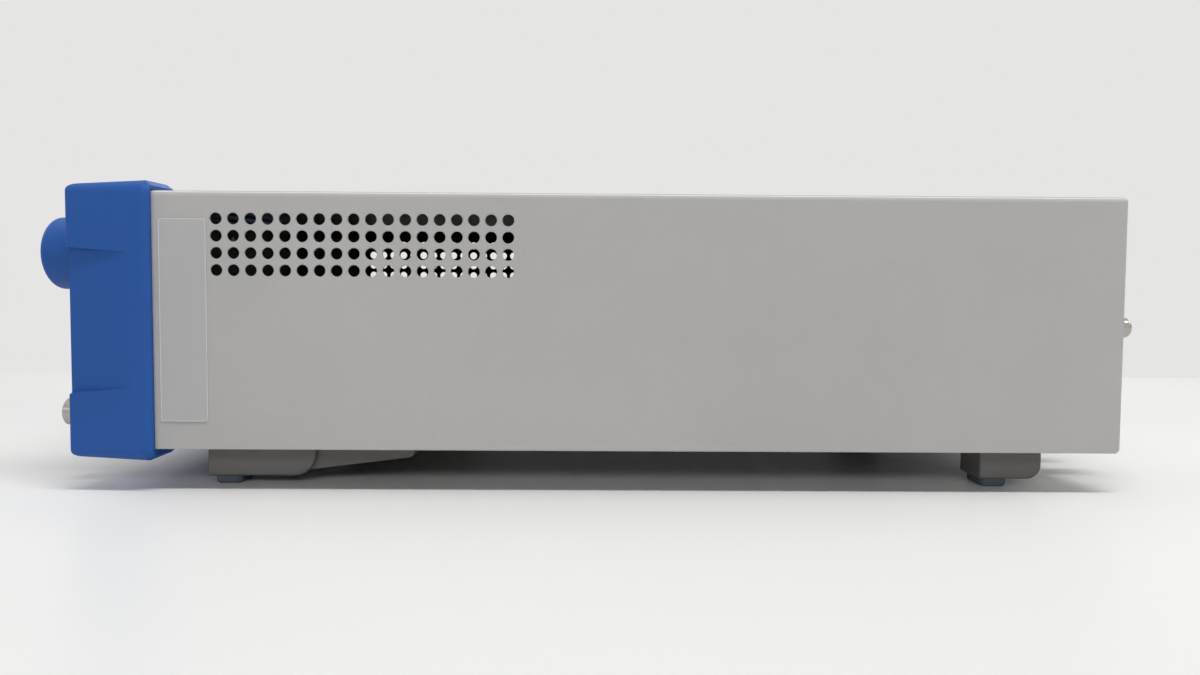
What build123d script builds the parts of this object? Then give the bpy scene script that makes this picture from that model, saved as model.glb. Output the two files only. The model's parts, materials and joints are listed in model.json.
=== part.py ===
from build123d import *
import math
import os

# Half-rack frequency counter: blue moulded front, folded steel case, keys, dial, jacks, feet and works.
# Frame: +X is the right-hand side seen from the front, +Y runs to the rear, +Z is up. The origin is on
# the surface that the counter stands on, under the middle of its overall length and width.
# Sizes are in millimetres.

# ---------------------------------------------------------------- fits
FIT = 0.2  # free gap round a piece that drops into another
KEY_GAP = 0.25  # gap round a cap that slides in the panel
RUN = 0.05  # radial clearance of a turning fit

# ---------------------------------------------------------------- case
CASE_W = 210.0
CASE_H = 88.0
BODY_DEPTH = 359.4  # bezel's front plane to the cover's rear edge
COVER_T = 1.0
COVER_BEND_R = 2.0
COVER_REAR_R = 1.0
COVER_FLANGE = 9.2  # rear lip that laps the rear panel
COVER_CORNER_CUT = 1.5
TRAY_T = 1.2
TRAY_WALL_H = 14.0
CHEEK_L = 20.0  # tall front ends of the tray's walls
CHEEK_DROP = 5.0  # case top to the cheek's top
CHEEK_FLANGE = 10.0
REAR_TAB_H = 9.0
REAR_TAB_GAP = 0.5  # tab's end to the nearest reference jack's nut
REAR_T = 1.5
REAR_SLOTS = 10
REAR_SLOT_W = 3.0
REAR_SLOT_H = 20.0
REAR_SLOT_R = 1.4
REAR_SLOT_PITCH = 8.0
REAR_SLOT_DROP = 20.0

VENT_COLUMNS = 18
VENT_ROWS = 4
VENT_PITCH = 5.8
VENT_D = 4.0
VENT_SETBACK = 49.7  # bezel's front plane to the first column
VENT_DROP = 9.5  # case top to the top row

LABEL_W = 16.0
LABEL_MARGIN = 9.5  # case's top and bottom edges to the label
LABEL_T = 0.3
LABEL_R = 1.2
LABEL_EDGE = 0.2
LABEL_SETBACK = 2.2  # bezel's rear edge to the label

# ---------------------------------------------------------------- bezel and front panel
BEZEL_DEPTH = 28.2
BEZEL_PROUD = 3.2  # bezel's sides and top stand this far outside the case
BEZEL_UNDER = 4.0  # bezel's underside stands this far below the case
BEZEL_DRAFT = 3.0  # degrees
BEZEL_CORNER_R = 4.0
BEZEL_FRONT_R = 1.2  # front edges at the sides
BEZEL_NOSE_R = 3.4  # front edges at the top and bottom
BEZEL_BAND_L = 2.0  # sloping band along the rear edge
BEZEL_BAND_SLOPE = 40.0  # degrees
BEZEL_ENGAGE = 8.0  # length of case that slides into the bezel
BEZEL_SEAT = 2.5  # ledge that the case's front edge meets
BEZEL_STEP = 0.8  # panel's top and bottom edges to the lip's opening
BEZEL_FRAME = 6.5  # width of the front lip inside the case line
BEZEL_LIP = 4.0
BEZEL_OPENING_R = 4.0
BEZEL_OPENING_BEVEL = 1.2
BUMPER_W = 19.0
BUMPER_SLOPE = 2.0
BUMPER_FLOOR = 1.4  # top and bottom middles lie this far outside the case
SCOOP_DEPTH = 2.2
SCOOP_L = 20.0
SCOOP_EDGE = 19.3  # case edge to the start of the side hollow
SCOOP_EASE = 2.0
SCOOP_CORNER = 1.0  # cut on the lower bumper's upper front corner

PANEL_T = 2.5
WINDOW_T = 1.2
WINDOW_R = 2.0
WINDOW_LEDGE = 2.5
WINDOW_EDGE = 0.3
WINDOW_INSET = 5.5  # lip's opening to the window
WINDOW_DROP = 4.0

# ---------------------------------------------------------------- keys
KEY_W = 10.0
KEY_H = 7.0
KEY_R = 1.0
KEY_PROUD = 2.5
KEY_EDGE_R = 0.6
KEY_FLANGE = 0.8
KEY_FLANGE_T = 1.0
KEY_SPACE = 3.6  # between two caps
KEY_TRAVEL = 0.8
KEY_COLUMNS = 3
KEY_ROWS = 3
KEYPAD_GAP = 8.0  # window to the keypad
KEYPAD_DROP = 6.5
DIAL_GAP = 13.8  # keypad to the dial
SOFT_KEYS = 4
SOFT_KEY_W = 14.0
SOFT_KEY_GAP = 5.5  # between the window and the soft keys
POWER_GAP = 6.5  # between the soft keys and the power button
STEM_R = 1.7
STEM_ENGAGE = 0.8
STEM_ROOM = 0.2
SWITCH_SIDE = 6.0
SWITCH_H = 3.5
SWITCH_EDGE = 0.5

POWER_W = 13.0
POWER_H = 7.6
POWER_PROUD = 3.2
POWER_TRAVEL = 2.5
POWER_INSET = 11.0  # lip's opening to the button's middle
POWER_ROD_R = 1.8
POWER_SWITCH_W = 12.0
POWER_SWITCH_H = 9.0
POWER_SWITCH_L = 22.0

# ---------------------------------------------------------------- dial
KNOB_D = 25.7
KNOB_L = 17.8
KNOB_GAP = 1.0
KNOB_FRONT_R = 2.2
KNOB_INSET = 20.0  # case side to the dial's middle
KNOB_DROP = 21.0  # case top to the dial's middle
KNOB_WALL = 2.4
KNOB_FACE_T = 3.2
KNOB_HUB_D = 11.0
DIMPLE_R = 9.0
DIMPLE_DEPTH = 1.3
DIMPLE_OFFSET = 5.8
SHAFT_D = 6.0
SHAFT_IN_KNOB = 10.0
BUSH_D = 9.0
BUSH_PROUD = 3.4
BUSH_NUT_FLATS = 12.0
BUSH_NUT_T = 2.0
ENCODER_SIDE = 14.0
ENCODER_H = 6.5
ENCODER_WALL = 1.2
ENCODER_EDGE = 1.0

# ---------------------------------------------------------------- jacks
JACK_D = 9.6
JACK_REACH = 13.9  # mounting face to the jack's mouth
JACK_FLANGE_D = 13.0
JACK_FLANGE_T = 2.0
JACK_TAIL = 7.0
JACK_BORE_D = 8.1
JACK_BORE_L = 10.0
JACK_SLEEVE_D = 5.0
JACK_SLEEVE_SHORT = 1.6
JACK_BASE_T = 2.0
JACK_EDGE = 0.4
PIN_D = 2.2
PIN_SHORT = 0.5  # sleeve's mouth to the pin
PIN_BORE_D = 1.3
PIN_BORE_L = 5.0
PIN_TAIL_D = 1.3
PIN_ON_BOARD = 4.0
LUG_D = 2.0
LUG_PROUD = 0.75
LUG_SETBACK = 3.0
NUT_FLATS = 12.7
NUT_T = 2.4
INPUT_JACKS = 3
INPUT_INSET = 15.0  # case side to the first input jack
INPUT_PITCH = 25.0
INPUT_RISE = 10.6
REFERENCE_JACKS = 2
REFERENCE_INSET = 30.0  # case side to the first reference jack
REFERENCE_PITCH = 21.0

LED_D = 3.0
LED_PROUD = 0.6
LED_DOME_R = 0.5
LED_RISE = 14.0  # jack's middle to its lamp

# ---------------------------------------------------------------- boards
BOARD_T = 1.6
FRONT_BOARD_GAP = 9.5  # panel's back to the front board
FRONT_BOARD_RISE = 22.0
FRONT_BOARD_DROP = 6.0
FRONT_BOARD_INSET = 9.5  # front panel's ends to the front board's
BOSS_D = 6.0
PANEL_BOSS_D = 7.0
PANEL_BOSS_INSET = 4.0
PANEL_BOSS_RISE = 27.0
PANEL_BOSS_DROP = 10.0
BOARD_MARGIN = 4.0
DIGIT_MODULES = 3
DIGIT_MODULE_H = 17.0
DIGIT_MARGIN = 4.0  # sight opening to the first digit block
DIGIT_MODULE_GAP = 0.6
DIGIT_EDGE = 0.3
DIGIT_AIR = 1.4  # module's face to the window
DIGIT_DROP = 9.0

MAIN_SETBACK = 31.0
MAIN_FULL_L = 180.0  # full-width part of the main board
MAIN_REAR_GAP = 9.0
STANDOFF_BACK = 30.0  # main board's front edge to its first standoffs
STANDOFF_FLATS = 5.0
SUPPLY_W = 96.0
SUPPLY_GAP = 6.0
CAN_W = 72.0
CAN_INSET = 17.0  # case side to the can
CAN_BACK = 14.0  # main board's front edge to the can
CAN_T = 0.8
CAN_L = 46.0
CAN_H = 16.0
CAN_R = 1.2
OVEN_W = 36.0
OVEN_L = 27.0
OVEN_H = 19.0
OVEN_R = 1.5
CHIP_SIDE = 23.0
CHIP_GAP = 8.0
CHIP_T = 2.4
SMALL_CHIP_W = 9.0
SMALL_CHIP_L = 15.0
SMALL_CHIP_COLUMNS = 4
SMALL_CHIP_ROWS = 2
SMALL_CHIP_SPACE_X = 9.0
SMALL_CHIP_SPACE_Y = 12.0
CORE_W = 46.0
CORE_L = 40.0
CORE_H = 38.0
CORE_LIMB = 14.0
COIL_W = 30.0
COIL_PROUD = 7.0
COIL_H = 24.0
COIL_R = 4.9
CORE_INSET = 8.0  # supply board's edge to the core
CAPACITOR_D = 16.0
CAPACITOR_H = 30.0
CAPACITOR_R = 0.8
CAPACITORS = 3
RIBBON_X = -20.0
RIBBON_W = 32.0
RIBBON_T = 0.9
RIBBON_DROP = 12.0
RIBBON_BACK = 18.0
RIBBON_R = 4.0

# ---------------------------------------------------------------- rear fittings
INLET_GAP = 1.0  # cover's rear lip to the inlet's flange
INLET_RISE = 32.0
INLET_FLANGE_W = 34.0
INLET_FLANGE_H = 36.0
INLET_FLANGE_T = 2.4
INLET_FLANGE_R = 3.0
INLET_EDGE_R = 0.8
INLET_BODY_W = 28.0
INLET_BODY_H = 31.0
INLET_BODY_L = 22.0
SOCKET_W = 24.0
SOCKET_H = 16.2
SOCKET_L = 17.0
SOCKET_R = 2.0
SOCKET_TOP = 2.2  # body's top to the socket
BLADE_W = 2.0
BLADE_H = 4.0
BLADE_SPREAD = 7.0
BLADE_OUT = 12.5
BLADE_STEP = 2.0  # socket's middle line to each blade's middle
BLADE_TAIL = 6.0
BLADE_EDGE = 0.4
DRAWER_W = 23.0
DRAWER_H = 6.0
DRAWER_L = 19.0
DRAWER_LIP = 1.6
DRAWER_LIP_SIDE = 1.0
DRAWER_LIP_RISE = 0.8
DRAWER_LIP_R = 1.0
DRAWER_EDGE_R = 0.5
DRAWER_WALL = 1.5
DRAWER_BASE_T = 1.0
DRAWER_FACE_T = 3.0
DRAWER_FLOOR = 2.4

LAN_W = 16.0
LAN_H = 13.5
LAN_L = 18.0
LAN_MOUTH_W = 11.8
LAN_MOUTH_H = 8.2
LAN_MOUTH_L = 12.0
LAN_NOTCH_W = 6.0
LAN_NOTCH_H = 1.4
LAN_PITCH = 22.0  # network socket to the data socket
USB_W = 12.0
USB_H = 11.0
USB_L = 18.0
USB_MOUTH = 8.4
USB_MOUTH_L = 11.0
USB_TONGUE = 3.2
USB_TONGUE_W = 5.0
USB_TONGUE_SHORT = 2.0
USB_PITCH = 14.0  # data socket to the nearest reference jack
SHELL_EDGE = 0.4
SOCKET_PROUD = 0.6  # data sockets beyond the rear panel

EARTH_GAP = 0.3  # cover's rear lip to the earth terminal's collar
EARTH_RISE = 42.8
EARTH_STUD_D = 4.0
EARTH_COLLAR_D = 9.0
EARTH_COLLAR_T = 0.8
EARTH_NUT_FLATS = 7.0
EARTH_NUT_T = 3.0
EARTH_CAP_D = 7.3
EARTH_CAP_L = 7.0
EARTH_CAP_R = 1.8
EARTH_SLOT_W = 1.1
EARTH_SLOT_DEPTH = 1.5
EARTH_TAIL = 6.0

# ---------------------------------------------------------------- feet
FOOT_BODY_H = 11.6
PAD_H = 3.0
FOOT_INSET = 11.0
FOOT_W = 16.8
FRONT_FOOT_SETBACK = 40.9  # bezel's front plane to the front foot
FRONT_FOOT_L = 38.2
REAR_FOOT_INSET = 43.5  # rear foot's front end to the cover's rear edge
REAR_FOOT_L = 22.1
REAR_FOOT_R = 5.0
FOOT_EDGE_R = 0.8
PAD_L = 9.0
PAD_W = 12.8
PAD_INSET = 1.2  # foot's outer side to the pad
PAD_EDGE = 0.6
PAD_CORNER = 1.0
FRONT_PAD_SETBACK = 2.3
REAR_PAD_SETBACK = 1.2
FOOT_SCREW_SETBACK = 6.0
FOOT_SCREW_PITCH = 9.0
HINGE_DROP = 3.6  # case underside to the leg's hinge pin
LEG_CHEEK = 1.8
LEG_GAP = 0.3
LEG_PIN_D = 2.4
LEG_PIN_L = 1.3
LEG_PIN_ROOM = 0.1
LEG_REACH = 42.3
LEG_ROOT_DROP = 10.3
LEG_TIP_DROP = 5.0
LEG_TOP_GAP = 0.6
LEG_TIP_R = 1.5

# ---------------------------------------------------------------- screws
SCREW_D = 3.0
SCREW_HEAD_D = 5.6
SCREW_HEAD_H = 1.9
HEAD_DOME = 0.45  # dome radius over head height
DRIVE_SHARE = 0.6  # largest recess over the head
DRIVE_W = 0.9
DRIVE_L = 3.0
DRIVE_DEPTH = 0.9
SCREW_L = 6.0
SMALL_SCREW_D = 2.5
SMALL_HEAD_D = 4.5
SMALL_HEAD_H = 1.4
SMALL_SCREW_L = 5.0
COVER_SCREW_INSET = 6.2
COVER_SCREW_SPREAD = 22.0  # case's middle height to each side screw
REAR_SCREW_X = 30.0
REAR_SCREW_RISE = 5.0

# ---------------------------------------------------------------- places that follow from the sizes
FOOT_H = FOOT_BODY_H + PAD_H
CASE_BOTTOM = FOOT_H
CASE_TOP = CASE_BOTTOM + CASE_H
CASE_MID = (CASE_BOTTOM + CASE_TOP) / 2
HALF_W = CASE_W / 2

KNOB_REACH = KNOB_GAP + KNOB_L - BEZEL_LIP
EARTH_REACH = EARTH_COLLAR_T + EARTH_NUT_T + EARTH_CAP_L - COVER_T
REAR_REACH = max(EARTH_REACH, JACK_REACH - COVER_T)
FRONT = -(BODY_DEPTH + REAR_REACH - KNOB_REACH) / 2
REAR = FRONT + BODY_DEPTH
BEZEL_REAR = FRONT + BEZEL_DEPTH
CASE_FRONT = BEZEL_REAR - BEZEL_ENGAGE

PANEL_FRONT = FRONT + BEZEL_LIP
PANEL_BACK = PANEL_FRONT + PANEL_T
PANEL_HALF_W = HALF_W - BEZEL_SEAT
PANEL_HALF_H = CASE_H / 2 - BEZEL_SEAT
OPEN_HALF_W = HALF_W - BEZEL_FRAME
OPEN_BOTTOM = CASE_BOTTOM + BEZEL_SEAT + BEZEL_STEP
OPEN_TOP = CASE_TOP - BEZEL_SEAT - BEZEL_STEP
REAR_FACE = REAR - COVER_T
REAR_INNER = REAR_FACE - REAR_T

TRAY_HALF_W = HALF_W - COVER_T - FIT
TRAY_FLOOR = CASE_BOTTOM + TRAY_T

KNOB_X = HALF_W - KNOB_INSET
KNOB_Z = CASE_TOP - KNOB_DROP
INPUT_Z = CASE_BOTTOM + INPUT_RISE

FRONT_BOARD_Y = PANEL_BACK + FRONT_BOARD_GAP
MAIN_TOP = INPUT_Z - PIN_TAIL_D / 2
MAIN_BOTTOM = MAIN_TOP - BOARD_T
MAIN_FRONT = FRONT + MAIN_SETBACK
MAIN_HALF_W = TRAY_HALF_W - TRAY_T - BOARD_MARGIN
POWER_X = -OPEN_HALF_W + POWER_INSET
POWER_Z = MAIN_TOP + POWER_SWITCH_H / 2
INLET_X = -HALF_W + COVER_FLANGE + INLET_GAP + INLET_FLANGE_W / 2
INLET_Z = CASE_BOTTOM + INLET_RISE
REFERENCE_FIRST_X = HALF_W - REFERENCE_INSET
USB_X = REFERENCE_FIRST_X - (REFERENCE_JACKS - 1) * REFERENCE_PITCH - USB_PITCH
LAN_X = USB_X - LAN_PITCH
EARTH_X = HALF_W - COVER_FLANGE - EARTH_GAP - EARTH_COLLAR_D / 2
EARTH_Z = CASE_BOTTOM + EARTH_RISE
FOOT_X = HALF_W - FOOT_INSET - FOOT_W / 2
FRONT_FOOT_Y = FRONT + FRONT_FOOT_SETBACK
REAR_FOOT_Y = REAR - REAR_FOOT_INSET
HINGE_Z = CASE_BOTTOM - HINGE_DROP
HINGE_ROUND_R = FOOT_BODY_H - HINGE_DROP
HINGE_Y = FRONT_FOOT_Y + FRONT_FOOT_L - HINGE_ROUND_R

KEY_PITCH_X = KEY_W + KEY_SPACE
KEY_PITCH_Z = KEY_H + KEY_SPACE
KEYPAD_LEFT = KNOB_X - KNOB_D / 2 - DIAL_GAP - KEY_W - (KEY_COLUMNS - 1) * KEY_PITCH_X
KEYPAD = [
    (
        KEYPAD_LEFT + KEY_W / 2 + column * KEY_PITCH_X,
        OPEN_TOP - KEYPAD_DROP - KEY_H / 2 - row * KEY_PITCH_Z,
    )
    for row in range(KEY_ROWS)
    for column in range(KEY_COLUMNS)
]
SOFT_KEY_Z = POWER_Z + POWER_H / 2 + POWER_GAP + KEY_H / 2
WINDOW_LEFT = -OPEN_HALF_W + WINDOW_INSET
WINDOW_RIGHT = KEYPAD_LEFT - KEYPAD_GAP
WINDOW_TOP = OPEN_TOP - WINDOW_DROP
WINDOW_BOTTOM = SOFT_KEY_Z + KEY_H / 2 + SOFT_KEY_GAP
WINDOW_W = WINDOW_RIGHT - WINDOW_LEFT
WINDOW_H = WINDOW_TOP - WINDOW_BOTTOM
WINDOW_X = (WINDOW_LEFT + WINDOW_RIGHT) / 2
WINDOW_Z = (WINDOW_TOP + WINDOW_BOTTOM) / 2
SOFT_PITCH = (WINDOW_W - SOFT_KEY_W) / (SOFT_KEYS - 1)
SOFT_KEYPAD = [
    (WINDOW_LEFT + SOFT_KEY_W / 2 + i * SOFT_PITCH, SOFT_KEY_Z) for i in range(SOFT_KEYS)
]
KEYS = [(f"key_{i + 1}", x, z, KEY_W) for i, (x, z) in enumerate(KEYPAD)]
KEYS += [(f"soft_key_{i + 1}", x, z, SOFT_KEY_W) for i, (x, z) in enumerate(SOFT_KEYPAD)]
INPUTS = [(HALF_W - INPUT_INSET - i * INPUT_PITCH, INPUT_Z) for i in range(INPUT_JACKS)]
REFERENCES = [
    (REFERENCE_FIRST_X - i * REFERENCE_PITCH, INPUT_Z) for i in range(REFERENCE_JACKS)
]
LAMPS = [(x, z + LED_RISE) for x, z in INPUTS]


# ---------------------------------------------------------------- shapes that repeat
def block(x0, x1, y0, y1, z0, z1):
    """A box between two corners."""
    middle = Pos((x0 + x1) / 2, (y0 + y1) / 2, (z0 + z1) / 2)
    return middle * Box(abs(x1 - x0), abs(y1 - y0), abs(z1 - z0))


def rod_x(r, x0, x1, y, z):
    return Pos((x0 + x1) / 2, y, z) * Rot(0, 90, 0) * Cylinder(r, abs(x1 - x0))


def rod_y(r, y0, y1, x, z):
    return Pos(x, (y0 + y1) / 2, z) * Rot(90, 0, 0) * Cylinder(r, abs(y1 - y0))


def rod_z(r, z0, z1, x, y):
    return Pos(x, y, (z0 + z1) / 2) * Cylinder(r, abs(z1 - z0))


def hex_y(flats, y0, y1, x, z):
    """A hexagonal bar along Y."""
    face = RegularPolygon(flats / math.sqrt(3), 6)
    return Pos(x, (y0 + y1) / 2, z) * Rot(90, 0, 0) * extrude(face, (y1 - y0) / 2, both=True)


def plate_y(w, h, r, y0, y1, x, z):
    """A plate with rounded corners that faces along Y."""
    face = RectangleRounded(w, h, r)
    return Pos(x, (y0 + y1) / 2, z) * Rot(90, 0, 0) * extrude(face, (y1 - y0) / 2, both=True)


def prism_x(points, x0, x1):
    """A bar along X whose section is given as (y, z) points."""
    face = make_face(Polyline(*points, close=True))
    return extrude(Plane.YZ.offset(x0) * face, x1 - x0)


def prism_y(points, y0, y1):
    """A bar along Y whose section is given as (x, z) points."""
    face = make_face(Polyline(*points, close=True))
    return extrude(Plane.XZ.offset(-y0) * face, -(y1 - y0))


def prism_z(points, z0, z1):
    """A bar along Z whose section is given as (x, y) points."""
    face = make_face(Polyline(*points, close=True))
    return extrude(Plane.XY.offset(z0) * face, z1 - z0)


def both_sides(shape):
    """The shape and its mirror image on the other side of the counter."""
    return [shape, mirror(shape, Plane.YZ)]


def screw(d, length, head_d, head_h):
    """A cross-recessed pan-head screw, head up, with its seat at the origin."""
    body = Pos(0, 0, head_h / 2) * Cylinder(head_d / 2, head_h)
    body = fillet(body.edges().sort_by(Axis.Z)[-1], head_h * HEAD_DOME)
    body += Pos(0, 0, -length / 2) * Cylinder(d / 2, length)
    drive = min(DRIVE_L, head_d * DRIVE_SHARE)
    depth = min(DRIVE_DEPTH, head_h * DRIVE_SHARE)
    for turn in (0, 90):
        body -= Pos(0, 0, head_h - depth / 2) * Rot(0, 0, turn) * Box(drive, DRIVE_W, depth)
    return body


def screw_at(x, y, z, head, d=SCREW_D, length=SCREW_L, head_d=SCREW_HEAD_D, head_h=SCREW_HEAD_H):
    """A screw whose head points along one of front, rear, up or down from its seat."""
    turn = {"front": Rot(90, 0, 0), "rear": Rot(-90, 0, 0), "up": Rot(0, 0, 0), "down": Rot(180, 0, 0)}
    return Pos(x, y, z) * turn[head] * screw(d, length, head_d, head_h)


# ---------------------------------------------------------------- folded case
def vent_drills():
    """The side vents, as bars right through the counter."""
    y0 = FRONT + VENT_SETBACK
    z0 = CASE_TOP - VENT_DROP
    places = [
        (y0 + column * VENT_PITCH, z0 - row * VENT_PITCH)
        for row in range(VENT_ROWS)
        for column in range(VENT_COLUMNS)
    ]
    return [rod_x(VENT_D / 2, -CASE_W, CASE_W, y, z) for y, z in places]


def cover_screw_places():
    """Middles of the screws in the cover's rear lip, as (x, z)."""
    x = HALF_W - COVER_SCREW_INSET
    top = CASE_TOP - COVER_SCREW_INSET
    heights = [CASE_MID - COVER_SCREW_SPREAD, CASE_MID + COVER_SCREW_SPREAD]
    sides = [(side * x, z) for side in (-1, 1) for z in heights]
    return sides + [(side * HALF_W / 2, top) for side in (-1, 1)]


def top_cover():
    outer = block(-HALF_W, HALF_W, CASE_FRONT, REAR, CASE_BOTTOM, CASE_TOP)
    outer = fillet(outer.edges().filter_by(Axis.Y).group_by(Axis.Z)[-1], COVER_BEND_R)
    rear_edges = outer.faces().sort_by(Axis.Y)[-1].edges()
    outer = fillet(rear_edges.sort_by(Axis.Z)[1:], COVER_REAR_R)
    wall = HALF_W - COVER_T
    inner = block(-wall, wall, CASE_FRONT, REAR_FACE, CASE_BOTTOM, CASE_TOP - COVER_T)
    inner = fillet(inner.edges().filter_by(Axis.Y).group_by(Axis.Z)[-1], COVER_BEND_R - COVER_T)
    lip = HALF_W - COVER_FLANGE
    mouth = block(-lip, lip, REAR_FACE, REAR, CASE_BOTTOM, CASE_TOP - COVER_FLANGE)
    cut = COVER_CORNER_CUT
    corner = [(REAR - cut, CASE_BOTTOM), (REAR, CASE_BOTTOM), (REAR, CASE_BOTTOM + cut)]
    corners = prism_x(corner, -HALF_W, HALF_W)
    drills = [rod_y(SCREW_D / 2, REAR_FACE, REAR, x, z) for x, z in cover_screw_places()]
    return outer - [inner, mouth, corners] - vent_drills() - drills


def panel_boss_places():
    """Middles of the corner bosses that tie the front panel to the tray, as (x, z)."""
    x = PANEL_HALF_W - PANEL_BOSS_INSET
    heights = [CASE_BOTTOM + PANEL_BOSS_RISE, CASE_TOP - PANEL_BOSS_DROP]
    return [(side * x, z) for side in (-1, 1) for z in heights]


def foot_screw_places():
    """Middles of the screws that hold the four feet, as (x, y)."""
    first = [y + FOOT_SCREW_SETBACK for y in (FRONT_FOOT_Y, REAR_FOOT_Y)]
    return [
        (side * FOOT_X, y + i * FOOT_SCREW_PITCH)
        for side in (-1, 1)
        for y in first
        for i in (0, 1)
    ]


def rear_screw_places():
    """Middles of the screws that hold the rear panel to the tray, as (x, z)."""
    return [(side * REAR_SCREW_X, CASE_BOTTOM + REAR_SCREW_RISE) for side in (-1, 1)]


def tray_cheek():
    """The tray's right wall, with its tall front end and the flange that takes the front panel."""
    outer = TRAY_HALF_W
    inner = outer - TRAY_T
    top = CASE_TOP - CHEEK_DROP
    wall = block(inner, outer, CASE_FRONT, REAR_INNER, CASE_BOTTOM, CASE_BOTTOM + TRAY_WALL_H)
    cheek = block(inner, outer, CASE_FRONT, CASE_FRONT + CHEEK_L, CASE_BOTTOM, top)
    step = CASE_BOTTOM + TRAY_WALL_H
    flange = block(outer - CHEEK_FLANGE, outer, CASE_FRONT, CASE_FRONT + TRAY_T, step, top)
    return wall + cheek + flange


def chassis_tray():
    tray = block(-TRAY_HALF_W, TRAY_HALF_W, CASE_FRONT, REAR_INNER, CASE_BOTTOM, TRAY_FLOOR)
    tab = REFERENCES[-1][0] - NUT_FLATS / math.sqrt(3) - REAR_TAB_GAP
    tray += block(-tab, tab, REAR_INNER - TRAY_T, REAR_INNER, CASE_BOTTOM, CASE_BOTTOM + REAR_TAB_H)
    for side in both_sides(tray_cheek()):
        tray += side
    drills = [
        rod_y(SCREW_D / 2, CASE_FRONT, CASE_FRONT + TRAY_T, x, z) for x, z in panel_boss_places()
    ]
    drills += [rod_y(SCREW_D / 2, REAR_INNER - TRAY_T, REAR_INNER, x, z) for x, z in rear_screw_places()]
    drills += [rod_z(SCREW_D / 2, CASE_BOTTOM, TRAY_FLOOR, x, y) for x, y in foot_screw_places()]
    return tray - drills


def rear_slots():
    """The vent slots over the rear sockets, the first in line with a reference jack."""
    z = CASE_TOP - REAR_SLOT_DROP
    places = [REFERENCE_FIRST_X - i * REAR_SLOT_PITCH for i in range(REAR_SLOTS)]
    return [plate_y(REAR_SLOT_W, REAR_SLOT_H, REAR_SLOT_R, REAR_INNER, REAR_FACE, x, z) for x in places]


def rear_panel():
    top = CASE_TOP - COVER_T - FIT
    panel = block(-TRAY_HALF_W, TRAY_HALF_W, REAR_INNER, REAR_FACE, CASE_BOTTOM, top)
    panel = fillet(panel.edges().filter_by(Axis.Y).group_by(Axis.Z)[-1], COVER_BEND_R - COVER_T)
    inlet_z0 = INLET_Z - INLET_BODY_H / 2 - FIT
    inlet_z1 = INLET_Z + INLET_BODY_H / 2 + FIT
    inlet_half = INLET_BODY_W / 2 + FIT
    cuts = [block(INLET_X - inlet_half, INLET_X + inlet_half, REAR_INNER, REAR_FACE, inlet_z0, inlet_z1)]
    for x, w, h in ((LAN_X, LAN_W, LAN_H), (USB_X, USB_W, USB_H)):
        half = w / 2 + FIT
        cuts.append(block(x - half, x + half, REAR_INNER, REAR_FACE, MAIN_TOP - FIT, MAIN_TOP + h + FIT))
    cuts += [rod_y(JACK_D / 2, REAR_INNER, REAR_FACE, x, z) for x, z in REFERENCES]
    cuts += [rod_y(SCREW_D / 2, REAR_INNER, REAR_FACE, x, z) for x, z in cover_screw_places()]
    cuts += [rod_y(SCREW_D / 2, REAR_INNER, REAR_FACE, x, z) for x, z in rear_screw_places()]
    cuts.append(rod_y(EARTH_STUD_D / 2, REAR_INNER, REAR_FACE, EARTH_X, EARTH_Z))
    return panel - cuts - rear_slots()


def side_label():
    y = BEZEL_REAR + LABEL_SETBACK + LABEL_W / 2
    face = Plane.YZ * RectangleRounded(LABEL_W, CASE_H - 2 * LABEL_MARGIN, LABEL_R)
    label = Pos(HALF_W, y, CASE_MID) * extrude(face, LABEL_T)
    return chamfer(label.faces().sort_by(Axis.X)[-1].edges(), LABEL_EDGE)


# ---------------------------------------------------------------- bezel
def bezel_blank():
    """The bezel's outside without its hollows: a tapered block and a sloping rear band."""
    low = CASE_BOTTOM - BEZEL_UNDER
    high = CASE_TOP + BEZEL_PROUD
    face = RectangleRounded(CASE_W + 2 * BEZEL_PROUD, high - low, BEZEL_CORNER_R)
    shift = Pos(0, BEZEL_REAR - BEZEL_BAND_L, (low + high) / 2)
    block_l = BEZEL_DEPTH - BEZEL_BAND_L
    blank = shift * Rot(90, 0, 0) * extrude(face, block_l, taper=BEZEL_DRAFT)
    blank = fillet(blank.faces().sort_by(Axis.Y)[0].edges(), BEZEL_FRONT_R)
    blank += shift * Rot(-90, 0, 0) * extrude(face, BEZEL_BAND_L, taper=BEZEL_BAND_SLOPE)
    draft = math.tan(math.radians(BEZEL_DRAFT)) * block_l
    nose = block(-CASE_W, CASE_W, FRONT, BEZEL_REAR, low + draft, high - draft)
    nose = fillet(nose.faces().sort_by(Axis.Y)[0].edges().filter_by(Axis.X), BEZEL_NOSE_R)
    behind = block(-CASE_W, CASE_W, FRONT + BEZEL_NOSE_R, BEZEL_REAR, low, high)
    return blank & (nose + behind)


def bumper_hollows():
    """The flats along the top and bottom between the corner bumpers."""
    half = HALF_W + BEZEL_PROUD - BUMPER_W
    low = CASE_H / 2 + BUMPER_FLOOR
    high = CASE_H / 2 + 2 * BEZEL_UNDER
    points = [(-half, low), (half, low), (half + BUMPER_SLOPE, high), (-half - BUMPER_SLOPE, high)]
    top = [(x, CASE_MID + z) for x, z in points]
    bottom = [(x, CASE_MID - z) for x, z in points]
    return [prism_y(each, FRONT - BEZEL_PROUD, BEZEL_REAR + BEZEL_PROUD) for each in (top, bottom)]


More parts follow.
